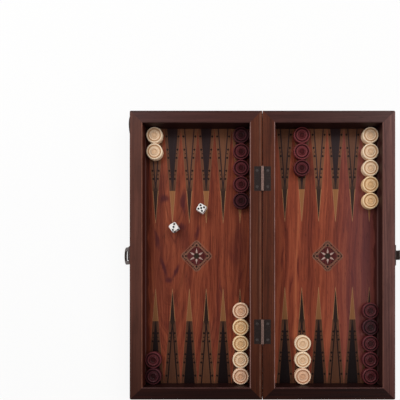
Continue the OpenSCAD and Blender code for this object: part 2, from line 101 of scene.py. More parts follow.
def linear(colour: str, share: float = 1.0) -> Colour:
    """Turns a hex sRGB colour to linear, and makes it lighter or darker by a factor.

    Args:
        colour: six hex digits after a hash sign.
        share: the factor.

    Returns:
        Red, green, blue and an alpha of 1.
    """
    parts = [int(colour[i : i + 2], 16) / 255 for i in (1, 3, 5)]
    red, green, blue = (p / 12.92 if p <= 0.04045 else ((p + 0.055) / 1.055) ** 2.4 for p in parts)
    return red * share, green * share, blue * share, 1.0


def fill(tree: Tree, node: Node, inputs: Inputs) -> None:
    """Fills in a node's inputs.

    Args:
        tree: the node's tree.
        node: the node.
        inputs: a value to set, or a socket or node to link, for each input. They are in the order of the
            inputs, or go by name or number.
    """
    pairs = inputs.items() if isinstance(inputs, Mapping) else enumerate(inputs)
    for name, value in pairs:
        if isinstance(value, bpy.types.Node):
            value = value.outputs[0]
        if isinstance(value, bpy.types.NodeSocket):
            tree.links.new(value, node.inputs[name])
        else:
            node.inputs[name].default_value = value


def per_metre(*sizes: float) -> tuple[float, ...]:
    """Scales of a pattern whose patches are so many millimetres along each axis."""
    return tuple(1 / (size * MM) for size in sizes)


def add_node(tree: Tree, kind: str, inputs: Inputs = (), stops: Stops = (), **settings: Any) -> Node:
    """Adds a shader node with its settings and links.

    Args:
        tree: node tree that the node goes into.
        kind: the node's type, without ShaderNode in front.
        inputs: what goes into its inputs, as in fill().
        stops: positions and hex colours, for a colour ramp.
        **settings: properties of the node.

    Returns:
        The new node.
    """
    node = tree.nodes.new(f"ShaderNode{kind}")
    for name, value in settings.items():
        setattr(node, name, value)
    fill(tree, node, inputs)
    if stops:
        points = node.color_ramp.elements
        while len(points) < len(stops):
            points.new(1.0)
        for point, (position, colour) in zip(points, stops):
            point.position = position
            point.color = linear(colour)
    return node


def tinted(tree: Tree, colour: Link | Colour, share: Link, shade: Link | Colour | str) -> Link:
    """Tints a colour.

    Args:
        tree: the material's node tree.
        colour: the colour so far.
        share: how much of the shade shows, from 0 to 1.
        shade: the shade over it, which may be a hex colour.

    Returns:
        The tinted colour.
    """
    over = linear(shade) if isinstance(shade, str) else shade
    return add_node(tree, "Mix", {0: share, 6: colour, 7: over}, data_type="RGBA").outputs[2]


def all_of(tree: Tree, first: Link, *shares: Link | float) -> Link:
    """Finds where several shares hold at once.

    Args:
        tree: the material's node tree.
        first: the first share.
        *shares: the other ones.

    Returns:
        Their product.
    """
    for share in shares:
        first = add_node(tree, "Math", (first, share), operation="MULTIPLY")
    return first


def off_from(tree: Tree, value: Link, place: float) -> Link:
    """Measures along one direction.

    Args:
        tree: the material's node tree.
        value: place of what is shaded.
        place: place to measure from.

    Returns:
        The distance, to either side.
    """
    away = add_node(tree, "Math", (value, place), operation="SUBTRACT")
    return add_node(tree, "Math", (away,), operation="ABSOLUTE")


@dataclass(frozen=True)
class Finish:
    """A surface finish. Its subclasses say what the real one is made of."""

    name: str

    def build(self) -> bpy.types.Material:
        """Makes the finish's material, or gives the one already made.

        Returns:
            The material.
        """
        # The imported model's own plain materials go by its slots' names, so these end in a word of their own
        name = f"{self.name}_finish"
        known = bpy.data.materials.get(name)
        if known:
            return known
        material = bpy.data.materials.new(name)
        material.use_nodes = True
        tree = material.node_tree
        tree.nodes.clear()
        shader = add_node(tree, "BsdfPrincipled")
        add_node(tree, "OutputMaterial", {"Surface": shader})
        self.dress(tree, shader)
        return material

    def dress(self, tree: Tree, shader: Node) -> None:
        """Fills in the shader.

        Args:
            tree: the material's node tree.
            shader: its principled shader.
        """
        raise NotImplementedError


@dataclass(frozen=True)
class ClearCoat:
    """A thin clear coat on wood: a soft sheen, under which the fibres can just be felt."""

    roughness: float
    specular: float
    coat: float
    coat_roughness: float
    # Height of the fibres, and the share of it that the coat leaves
    relief: float
    relief_share: float
    # How much duller it is over low fibres and glossier over high ones, and their heights
    duller: float = 0.08
    glossier: float = 0.08
    heights: Span = (0.2, 0.8)

    def gloss(self, tree: Tree, fibres: Link) -> Link:
        """Roughness that is a little higher where the fibres lie low."""
        ends = (self.roughness + self.duller, self.roughness - self.glossier)
        return add_node(tree, "MapRange", (fibres, *self.heights, *ends))

    def lay(self, tree: Tree, shader: Node, colour: Link, gloss: Link, height: Link) -> None:
        """Fills in the shader with the wood and the coat over it.

        Args:
            tree: the material's node tree.
            shader: its principled shader.
            colour: the wood's colour.
            gloss: the coat's roughness.
            height: height of the wood's fibres.
        """
        felt = {"Height": height, "Distance": self.relief, "Strength": self.relief_share}
        looks = {
            "Base Color": colour,
            "Roughness": gloss,
            "Normal": add_node(tree, "Bump", felt),
            "Specular IOR Level": self.specular,
            "Coat Weight": self.coat,
            "Coat Roughness": self.coat_roughness,
        }
        fill(tree, shader, looks)


SATIN_LACQUER = ClearCoat(
    roughness=0.38, specular=0.14, coat=0.04, coat_roughness=0.2, relief=0.04 * MM, relief_share=0.35,
    duller=0.1, heights=(0.0, 1.0),
)
VENEER_LACQUER = ClearCoat(
    roughness=0.42, specular=0.14, coat=0.04, coat_roughness=0.25, relief=0.03 * MM, relief_share=0.3,
    duller=0.06, glossier=0.06,
)
PALE_WAX = ClearCoat(
    roughness=0.45, specular=0.2, coat=0.04, coat_roughness=0.15, relief=0.02 * MM, relief_share=0.15
)
DARK_WAX = ClearCoat(
    roughness=0.36, specular=0.1, coat=0.06, coat_roughness=0.15, relief=0.02 * MM, relief_share=0.15
)


@dataclass(frozen=True)
class Mark:
    """A dark or pale streak in a veneer, or a band of painted shadow: middle and half sizes in metres, and
    its turn in radians.
    """

    x: float
    y: float
    wide: float
    long: float
    share: float
    shade: str
    # Share of its size that has the full shade
    core: float
    turn: float = 0.0


@dataclass(frozen=True)
class Grain:
    """Where a piece was cut from its log, in millimetres across, along and below its face."""

    shades: Stops
    # Width of a year's ring, and how far the log bends
    ring: float
    wave: float
    seed: float
    axis: GrainAxis = GrainAxis.ALONG_Y
    # Where the log's heart lies, and how much deeper it gets along the piece
    heart_across: float = 150.0
    heart_along: float = 0.0
    depth: float = 30.0
    tilt: float = 0.02
    # Shares of dark patches and of thin veins
    figure: float = 0.35
    veins: float = 0.0
    marks: tuple[Mark, ...] = ()


# Sizes of the patches in a wood's pattern, in millimetres across and along the grain
BEND_SIZE = (60, 210)
FIBRE_SIZE = (1.7, 60)
STREAK_SIZE = (8, 170)
VEIN_SIZE = (25, 90)
WANDER_SIZE = (9, 30)
FIGURE_SIZE = (30, 90)
# Pores are 0.2 mm wide in the real wood, and drawn 0.8 mm wide so that they show
PORE_SIZE = (0.8, 11)
# How far the noise moves a streak's edges
WANDER = Vector((12, 14, 0)) * MM


@dataclass(frozen=True)
class LacqueredWood(Finish):
    """Wood under satin lacquer: rings in long streaks, fine fibres, short dark pores and a soft sheen."""

    grain: Grain
    pore_shade: str = "#1c0c0a"
    figure_shade: str = "#441a1c"
    vein_shade: str = "#3c130c"
    vein_half: float = 0.035
    # Values of their noise between which the veins, the dark patches and the pores come in
    vein_from: Span = (0.4, 0.6)
    figure_from: Span = (0.54, 0.68)
    pore_from: Span = (0.6, 0.72)
    pore_share: float = 0.5
    # How much the rings, streaks and fibres show, and sums of these that get the first and the last shade
    layers: tuple[float, float, float] = (0.5, 0.55, 0.45)
    shade_from: Span = (0.5, 1.0)
    lacquer: ClearCoat = SATIN_LACQUER

    def noise(self, tree: Tree, place: Link, size: tuple[float, float], detail: float) -> Node:
        """Noise in patches.

        Args:
            tree: the material's node tree.
            place: place in the wood, in millimetres.
            size: size of the patches across and along the grain, in millimetres.
            detail: how many finer layers it has.

        Returns:
            The noise.
        """
        across, along = size
        spread = add_node(tree, "Mapping", {"Vector": place, "Scale": (1 / across, 1 / along, 1 / across)})
        inputs = {"Vector": spread, "W": self.grain.seed, "Scale": 1.0, "Detail": detail}
        return add_node(tree, "TexNoise", inputs, noise_dimensions="4D")

    def marked(self, tree: Tree, colour: Link, here: Link, place: Link) -> Link:
        """Draws the piece's own streaks.

        Args:
            tree: the material's node tree.
            colour: the colour so far.
            here: place in the frame, in metres.
            place: place in the wood, in millimetres.

        Returns:
            The colour with the streaks, whose edges a noise moves by some millimetres.
        """
        drift = self.noise(tree, place, WANDER_SIZE, 3).outputs["Color"]
        back = add_node(tree, "VectorMath", (here, WANDER / 2), operation="SUBTRACT")
        wander = add_node(tree, "VectorMath", (drift, WANDER, back), operation="MULTIPLY_ADD")
        for mark in self.grain.marks:
            frame_of_mark = {
                "Vector": wander,
                "Location": (mark.x, mark.y, 0.0),
                "Rotation": (0.0, 0.0, mark.turn),
                "Scale": (mark.wide, mark.long, 1.0),
            }
            local = add_node(tree, "Mapping", frame_of_mark, vector_type="TEXTURE")
            flat = add_node(tree, "VectorMath", (local, (1.0, 1.0, 0.0)), operation="MULTIPLY")
            away = add_node(tree, "VectorMath", (flat,), operation="LENGTH").outputs["Value"]
            within = add_node(
                tree, "MapRange", (away, 1.0, mark.core, 0.0, mark.share), interpolation_type="SMOOTHSTEP"
            )
            colour = tinted(tree, colour, within, mark.shade)
        return colour

    def colour_and_height(self, tree: Tree) -> tuple[Link, Link]:
        """Lays out the wood's pattern.

        Args:
            tree: the material's node tree.

        Returns:
            The colour, and the height of the fibres.
        """
        g = self.grain
        here = add_node(tree, "TexCoord").outputs["Object"]
        cut = {
            "Vector": here,
            "Location": (-g.heart_across, -g.heart_along, 0),
            "Rotation": (0, 0, g.axis.value),
            "Scale": per_metre(1, 1, 1),
        }
        place = add_node(tree, "Mapping", cut)
        # The log isn't straight, so everything is bent by a slow noise before it is cut
        slow = self.noise(tree, place, BEND_SIZE, 2).outputs["Color"]
        bend = add_node(tree, "VectorMath", (slow, (-0.5, -0.5, -0.5)), operation="ADD")
        bent = add_node(tree, "VectorMath", (bend, (g.wave, 0, g.wave), place), operation="MULTIPLY_ADD")
        across, along, up = add_node(tree, "SeparateXYZ", (bent,)).outputs
        sunk = add_node(tree, "Math", (along, g.tilt, g.depth), operation="MULTIPLY_ADD")
        below = add_node(tree, "Math", (sunk, up), operation="ADD")
        from_heart = add_node(tree, "CombineXYZ", {0: across, 2: below})
        reach = add_node(tree, "VectorMath", (from_heart,), operation="LENGTH").outputs["Value"]
        ring = add_node(tree, "Math", (reach, g.ring), operation="DIVIDE")
        ring_noise = {"W": ring, "Scale": 1.0, "Detail": 3.0, "Roughness": 0.62}
        rings = add_node(tree, "TexNoise", ring_noise, noise_dimensions="1D")
        fibres = self.noise(tree, bent, FIBRE_SIZE, 3)
        streaks = self.noise(tree, bent, STREAK_SIZE, 3)
        tone: Link | float = 0.0
        for layer, weight in zip((rings, streaks, fibres), self.layers):
            tone = add_node(tree, "Math", (layer, weight, tone), operation="MULTIPLY_ADD")
        spread = add_node(tree, "MapRange", (tone, *self.shade_from, 0.0, 1.0))
        colour: Link = add_node(tree, "ValToRGB", (spread,), g.shades)
        if g.veins:
            # Thin dark veins follow the rings wherever their noise passes its middle
            patches = self.noise(tree, bent, VEIN_SIZE, 1)
            fade = add_node(tree, "MapRange", (patches, *self.vein_from, 0.15 * g.veins, g.veins))
            near = add_node(tree, "MapRange", (off_from(tree, rings, 0.5), 0.0, self.vein_half, fade, 0.0))
            colour = tinted(tree, colour, near, self.vein_shade)
        if g.marks:
            colour = self.marked(tree, colour, here, place)
        # Dark heartwood that runs in patches along the rings
        patches = self.noise(tree, bent, FIGURE_SIZE, 3)
        dark = add_node(
            tree, "MapRange", (patches, *self.figure_from, 0.0, g.figure), interpolation_type="SMOOTHSTEP"
        )
        colour = tinted(tree, colour, dark, self.figure_shade)
        pores = self.noise(tree, place, PORE_SIZE, 1)
        pores = add_node(tree, "MapRange", (pores, *self.pore_from, 0.0, self.pore_share))
        colour = tinted(tree, colour, pores, self.pore_shade)
        return colour, add_node(tree, "Math", (pores, -1.0, fibres), operation="MULTIPLY_ADD")

    def gloss(self, tree: Tree, height: Link) -> Link:
        """Roughness of the lacquer."""
        return self.lacquer.gloss(tree, height)

    def dress(self, tree: Tree, shader: Node) -> None:
        """Fills in the shader with the wood and its lacquer.

        Args:
            tree: the material's node tree.
            shader: its principled shader.
        """
        colour, height = self.colour_and_height(tree)
        self.lacquer.lay(tree, shader, colour, self.gloss(tree, height), height)


@dataclass(frozen=True)
class WearAndHighlightLine:
    """A pale line along a rail's edge: painted highlight and rubbed lacquer. Where it lies, how wide it is
    and how strong.
    """

    at: float
    width: float = 1.5 * MM
    share: float = 0.6
    shade: str = "#8a6055"


@dataclass(frozen=True)
class RailWood(LacqueredWood):
    """Lacquered walnut of a rail: painted highlight on rubbed edges, painted shade inside the tray and to the
    south.
    """

    across: int = 0
    inner_at: float = 0.0
    inner_slack: float = 0.2 * MM
    lines: tuple[WearAndHighlightLine, ...] = ()
    # Painted shade on the rail's inner face, the wall of the tray that stands out of the light
    painted_inner_shade: str = "#1d0b0a"
    inside: float = 0.8
    # A paler band of painted highlight low on the inner face, at the foot of the wall
    foot_painted_highlight: str = "#6d4c49"
    foot: float = 0.0
    foot_z: float = 15.5 * MM
    painted_south_shade: str = "#1c0a05"
    south: float = 0.0
    # Painted shade towards the south, where less light falls: where along y it begins, and where it is full
    south_from: Span = (-60 * MM, -240 * MM)
    side_shade: str = "#6b4327"
    side: float = 0.55
    rub_mm: float = 18.18
    # Values of the rub's noise where a pale line is faintest and fullest, and its share at its faintest
    rub_from: Span = (0.3, 0.6)
    rub_least: float = 0.5
    # Upright part of the normal from which a face counts as a top, and below which as a side
    lean: float = 0.3

    def colour_and_height(self, tree: Tree) -> tuple[Link, Link]:
        """Adds to the wood's pattern its pale lines of painted highlight, and painted shade on its inner face
        and south end.

        Args:
            tree: the material's node tree.

        Returns:
            The colour, and the height of the fibres.
        """
        colour, height = super().colour_and_height(tree)
        coords = add_node(tree, "TexCoord").outputs
        place = add_node(tree, "SeparateXYZ", (coords["Object"],)).outputs
        upward = add_node(tree, "SeparateXYZ", (coords["Normal"],)).outputs[2]
        # Painted shade: the rail darkens towards the south, where less light falls
        south_falloff = add_node(tree, "MapRange", (place[1], *self.south_from, 0.0, self.south))
        colour = tinted(tree, colour, south_falloff, self.painted_south_shade)
        (rub_scale,) = per_metre(self.rub_mm)
        rub = add_node(tree, "TexNoise", {"Vector": coords["Object"], "Scale": rub_scale, "Detail": 3.0})
        rubbed = add_node(tree, "MapRange", (rub, *self.rub_from, self.rub_least, 1.0))
        upper = add_node(tree, "Math", (upward, self.lean), operation="GREATER_THAN")
        # Pale lines along the edges: painted highlight, over lacquer rubbed pale
        for line in self.lines:
            off = off_from(tree, place[self.across], line.at)
            near = add_node(tree, "MapRange", (off, line.width, line.width * 0.5, 0.0, line.share))
            colour = tinted(tree, colour, all_of(tree, near, upper, rubbed), line.shade)
        level = add_node(tree, "Math", (upward, 0.0, self.lean), operation="COMPARE")
        off = off_from(tree, place[self.across], self.inner_at)
        inner, outward = (
            all_of(tree, level, add_node(tree, "Math", (off, self.inner_slack), operation=operation))
            for operation in ("LESS_THAN", "GREATER_THAN")
        )
        colour = tinted(tree, colour, all_of(tree, outward, self.side), self.side_shade)
        # Painted shade on the inner face of the tray's wall
        colour = tinted(tree, colour, all_of(tree, inner, self.inside), self.painted_inner_shade)
        # Painted highlight low on the inner face
        if self.foot:
            low = add_node(tree, "Math", (place[2], self.foot_z), operation="LESS_THAN")
            colour = tinted(tree, colour, all_of(tree, inner, low, self.foot), self.foot_painted_highlight)
        return colour, height


@dataclass(frozen=True)
class BevelledVeneer(LacqueredWood):
    """Rosewood veneer on the outer panels, whose sloping edges are painted black and polished."""

    bevel_shade: str = "#0b090a"
    bevel_roughness: float = 0.2
    bevel_slack: float = 0.2

    def sloping(self, tree: Tree) -> Link:
        """1 where the face slopes at 45 degrees, and 0 elsewhere."""
        up = add_node(tree, "SeparateXYZ", (add_node(tree, "TexCoord").outputs["Normal"],)).outputs[2]
        return add_node(tree, "Math", (up, -math.sqrt(0.5), self.bevel_slack), operation="COMPARE")

    def colour_and_height(self, tree: Tree) -> tuple[Link, Link]:
        """Paints the black bevel over the veneer's pattern.

        Args:
            tree: the material's node tree.

        Returns:
            The colour, and the height of the fibres.
        """
        colour, height = super().colour_and_height(tree)
        return tinted(tree, colour, self.sloping(tree), self.bevel_shade), height

    def gloss(self, tree: Tree, height: Link) -> Link:
        """Satin on the veneer, and nearly glossy on the black bevel."""
        satin = super().gloss(tree, height)
        return add_node(tree, "Mix", {0: self.sloping(tree), 2: satin, 3: self.bevel_roughness})


@dataclass(frozen=True)
class InlaidWood(Finish):
    """Dyed maple or pear veneer in thin strips: plain fine grain, whose tone changes from strip to strip."""

    pale: str
    deep: str
    pitch: float = 29.2 * MM
    first: float = 0.0
    # How much the tone differs between strips and in clouds, and sums that get the deep and the pale shade
    spread: float = 0.7
    clouds: float = 0.6
    shade_from: Span = (0.5, 1.1)
    turn: str = ""
    tip: str = ""
    tip_y: float = 0.0
    # How far the core's end turns to its last shade, and how sharp the joint before the tip is
    turn_reach: float = 14 * MM
    joint: float = 0.1 * MM
    north: float = 0.0
    rosette: str = ""
    rosette_y: float = 34 * MM
    # How much darker and lighter the fibres make the shades of the tip and the rosette
    fibre_swing: float = 0.2
    south: float = 0.0
    painted_south_shade: str = "#200c05"
    # Painted shade towards the south, where less light falls: where along y it begins, and where it is full
    south_from: Span = (-20 * MM, -190 * MM)
    lacquer: ClearCoat = VENEER_LACQUER
    # Real fibres are 0.3 mm wide, and drawn 1.6 mm wide so that they show; clouds of tone are broader
    fibre_mm: tuple[float, float, float] = (1.613, 45.45, 1.613)
    cloud_mm: tuple[float, float, float] = (16.667, 111.1, 16.667)

    def dress(self, tree: Tree, shader: Node) -> None:
        """Fills in the shader with grain, and a tone for each point's own piece of veneer.

        Args:
            tree: the material's node tree.
            shader: its principled shader.
        """
        place = add_node(tree, "TexCoord").outputs["Object"]
        cell = add_node(tree, "VectorMath", (place, (self.first, -1.0, 0.0)), operation="SUBTRACT")
        cell = add_node(tree, "VectorMath", (cell, (self.pitch, 1.0, 10.0)), operation="DIVIDE")
        tone = add_node(tree, "TexWhiteNoise", (add_node(tree, "VectorMath", (cell,), operation="FLOOR"),))
        fibre, cloud = (
            add_node(
                tree,
                "TexNoise",
                {
                    "Vector": add_node(tree, "Mapping", {"Vector": place, "Scale": per_metre(*size)}),
                    "Scale": 1.0,
                    "Detail": detail,
                },
            )
            for size, detail in ((self.fibre_mm, 3.0), (self.cloud_mm, 2.0))
        )
        mixed = add_node(tree, "Math", (tone, self.spread, fibre), operation="MULTIPLY_ADD")
        mixed = add_node(tree, "Math", (cloud, self.clouds, mixed), operation="MULTIPLY_ADD")
        deepest, palest = self.shade_from
        share = add_node(tree, "MapRange", (mixed, deepest, palest + self.spread, 0.0, 1.0))
        colour = tinted(tree, linear(self.deep), share, self.pale)
        y = add_node(tree, "SeparateXYZ", (place,)).outputs[1]
        inward = off_from(tree, y, self.north)
        stretches = (
            (self.turn, self.tip_y + self.turn_reach, self.tip_y),
            (self.tip, self.tip_y, self.tip_y - self.joint),
            (self.rosette, self.rosette_y, self.rosette_y - self.joint),
        )
        for shade, start, full in stretches:
            if shade:
                within = add_node(tree, "MapRange", (inward, start, full, 0.0, 1.0))
                darker, lighter = linear(shade, 1 - self.fibre_swing), linear(shade, 1 + self.fibre_swing)
                toned = tinted(tree, darker, fibre, lighter)
                colour = tinted(tree, colour, within, toned)
        # Painted shade towards the south end
        if self.south:
            south_falloff = add_node(tree, "MapRange", (y, *self.south_from, 0.0, self.south))
            colour = tinted(tree, colour, south_falloff, self.painted_south_shade)
        self.lacquer.lay(tree, shader, colour, self.lacquer.gloss(tree, fibre), fibre)


@dataclass(frozen=True)
class PearlSheet(Finish):
    """Pearly cellulose sheet, cast with flakes that lie every way: polished cream, with slanting glints."""

    base: str = "#c9ac84"
    flake: str = "#eadbc0"
    shade: str = "#a98a62"
    flake_mm: float = 7.0
    # Roughness of the dullest and of the glossiest flakes
    roughness: Span = (0.32, 0.18)
    coat: float = 0.3
    coat_roughness: float = 0.1
    # Turn of the flakes and their stretch, and how broad the swirl is that bends them and how far it does
    slant: float = 0.5
    stretch: tuple[float, float, float] = (1.6, 0.6, 1.0)
    swirl: float = 0.8
    bend: float = 1.4
    # How much finer the small flakes are, which of them glint, and how strongly
    fineness: float = 2.7
    glint_from: Span = (0.72, 0.95)
    glint: float = 0.7

    def dress(self, tree: Tree, shader: Node) -> None:
        """Fills in the shader with flakes of two sizes over a clouded base.

        Args:
            tree: the material's node tree.
            shader: its principled shader.
        """
        place = add_node(tree, "TexCoord").outputs["Object"]
        (size,) = per_metre(self.flake_mm)
        swirl = add_node(tree, "TexNoise", {"Vector": place, "Scale": size * self.swirl, "Detail": 2.0})
        aslant = {
            "Vector": place,
            "Rotation": (0, 0, self.slant),
            "Scale": tuple(size * share for share in self.stretch),
        }
        turned = add_node(tree, "Mapping", aslant)
        bend = (self.bend, self.bend, self.bend)
        bent = add_node(tree, "VectorMath", (swirl.outputs["Color"], bend, turned), operation="MULTIPLY_ADD")
        # One channel of the broad flakes gives the tone, and one of the fine flakes the glints
        tone, glint = (
            add_node(
                tree,
                "SeparateColor",
                (add_node(tree, "TexVoronoi", {"Vector": bent, "Scale": scale}).outputs["Color"],),
            ).outputs[channel]
            for scale, channel in ((1.0, 0), (self.fineness, 1))
        )
        stops = ((0.0, self.shade), (0.3, self.base), (0.7, self.base), (1.0, self.flake))
        bright = add_node(tree, "MapRange", (glint, *self.glint_from, 0.0, self.glint))
        looks = {
            "Base Color": tinted(tree, add_node(tree, "ValToRGB", (tone,), stops), bright, self.flake),
            "Roughness": add_node(tree, "MapRange", (tone, 0.0, 1.0, *self.roughness)),
            "Coat Weight": self.coat,
            "Coat Roughness": self.coat_roughness,
        }
        fill(tree, shader, looks)


# Rings on a turned face: place, half width and strength, the first two as shares of the radius
Rings = tuple[tuple[float, float, float], ...]


@dataclass(frozen=True)
class TurnedWood(Finish):
    """Waxed wood turned on a lathe: tool rings, grain right across, painted shade in its hollows, painted
    highlight on its crests.
    """

    # Tones of the face, of the low places under painted shade, of the crests under painted highlight, and of
    # the grooves and darker rings
    face: str
    deep: str
    crest: str
    groove: str
    # Rings of painted highlight, where hands have also rubbed the wax thin, and rings that are darker
    rubbed: Rings
    dark_rings: Rings
    # How much the tool's rings show in the tone
    lathe: float
    wax: ClearCoat
    # Rings from the tool are 0.1 mm apart, and drawn 0.7 mm apart so that they show
    tool_mm: float = 0.6925
    width_mm: float = 27.7
    grain_mm: tuple[float, float, float] = (1.4286, 16.667, 1.4286)
    # Heights of the rim and of the sunk face in shares of the thickness, and radii where the rim ends
    levels: Span = (0.49, 0.385)
    rim: Span = (0.47, 0.44)
    # How much of the painted shade of its depth shows on the round side
    side_share: float = 0.25
    # How much the grain shows in the tone, and sums that get the crest's and the deep shade
    grain_share: float = 0.5
    shade_from: Span = (0.2, 1.4)
    # Depths where the grooves' painted shade begins and where it is full, and its share there
    groove_shade_from: Span = (0.86, 0.98)
    groove_shade_share: float = 0.8

    def dress(self, tree: Tree, shader: Node) -> None:
        """Fills in the shader, working from each checker's own middle.

        Args:
            tree: the material's node tree.
            shader: its principled shader.
        """
        own = add_node(tree, "TexCoord").outputs["Generated"]
        middle = add_node(tree, "VectorMath", (own, (-0.5, -0.5, -0.5)), operation="ADD")
        x, y, z = add_node(tree, "SeparateXYZ", (middle,)).outputs
        flat = add_node(tree, "CombineXYZ", (x, y))
        radius = add_node(tree, "VectorMath", (flat,), operation="LENGTH").outputs["Value"]
        place = add_node(tree, "TexCoord").outputs["Object"]
        along = add_node(tree, "Mapping", {"Vector": place, "Scale": per_metre(*self.grain_mm)})
        grain = add_node(tree, "TexNoise", {"Vector": along, "Scale": 1.0, "Detail": 3.0})
        turn = add_node(tree, "Math", (radius, self.width_mm / self.tool_mm), operation="MULTIPLY")
        lathe = add_node(tree, "TexNoise", {"W": turn, "Scale": 1.0, "Detail": 2.0}, noise_dimensions="1D")
        # How far a face lies below the rim, as a share of the checker's thickness, which sets its painted
        # shade; the round side gets only a share
        level = add_node(tree, "Math", (z,), operation="ABSOLUTE")
        sunk = add_node(tree, "MapRange", (level, *self.levels, 0.0, 1.0))
        on_face = add_node(tree, "MapRange", (radius, *self.rim, self.side_share, 1.0))
        sunk = all_of(tree, sunk, on_face)
        share = add_node(tree, "Math", (grain, self.grain_share, sunk), operation="MULTIPLY_ADD")
        share = add_node(tree, "Math", (lathe, self.lathe, share), operation="MULTIPLY_ADD")
        tone = add_node(tree, "MapRange", (share, *self.shade_from, 0.0, 1.0))
        stops = ((0.0, self.crest), (0.35, self.face), (1.0, self.deep))
        colour: Link = add_node(tree, "ValToRGB", (tone,), stops)
        # Painted shade, darkest in the deepest grooves
        low = add_node(tree, "MapRange", (sunk, *self.groove_shade_from, 0.0, self.groove_shade_share))
        colour = tinted(tree, colour, low, self.groove)
        # Darker rings, and pale rings of painted highlight over wax rubbed thin
        for rings, shade in ((self.dark_rings, self.groove), (self.rubbed, self.crest)):
            for ring, half, strength in rings:
                off = off_from(tree, radius, ring / 2)
                near = add_node(tree, "MapRange", (off, half / 2, half / 6, 0.0, strength))
                colour = tinted(tree, colour, near, shade)
        height = add_node(tree, "Math", (lathe, grain), operation="ADD")
        self.wax.lay(tree, shader, colour, self.wax.gloss(tree, grain), height)


@dataclass(frozen=True)
class CastAcrylic(Finish):
    """Cast acrylic, tumbled smooth: even and glossy, a little warm, with light passing into its edges."""

    shade: str
    scatter: float
    roughness: float = 0.22
    scatter_reach: float = 1.2 * MM
    # Share of red, green and blue that is left in the cloud
    cloud_left: tuple[float, float, float] = (0.86, 0.84, 0.8)
    cloud_mm: float = 3.846
    # Values of the noise where the cloud is thinnest and thickest, and where the polish is best and worst
    cloud_from: Span = (0.35, 0.7)
    polish_from: Span = (0.3, 0.7)
    # How much glossier and duller it is there
    glossier: float = 0.06
    duller: float = 0.1
    # How far red, green and blue light get into it, as shares of the reach
    reach_shares: tuple[float, float, float] = (1.0, 0.9, 0.8)

    def dress(self, tree: Tree, shader: Node) -> None:
        """Fills in the shader with a faint cloud in the colour and in the polish.

        Args:
            tree: the material's node tree.
            shader: its principled shader.
        """
        place = add_node(tree, "TexCoord").outputs["Object"]
        (cloud_scale,) = per_metre(self.cloud_mm)
        cloud = add_node(tree, "TexNoise", {"Vector": place, "Scale": cloud_scale, "Detail": 3.0})
        base = linear(self.shade)
        red, green, blue = (part * left for part, left in zip(base, self.cloud_left))
        thick = add_node(tree, "MapRange", (cloud, *self.cloud_from))
        polish = (self.roughness - self.glossier, self.roughness + self.duller)
        looks = {
            "Base Color": tinted(tree, base, thick, (red, green, blue, 1.0)),
            "Roughness": add_node(tree, "MapRange", (cloud, *self.polish_from, *polish)),
            "Subsurface Weight": self.scatter,
            "Subsurface Radius": self.reach_shares,
            "Subsurface Scale": self.scatter_reach,
        }
        fill(tree, shader, looks)


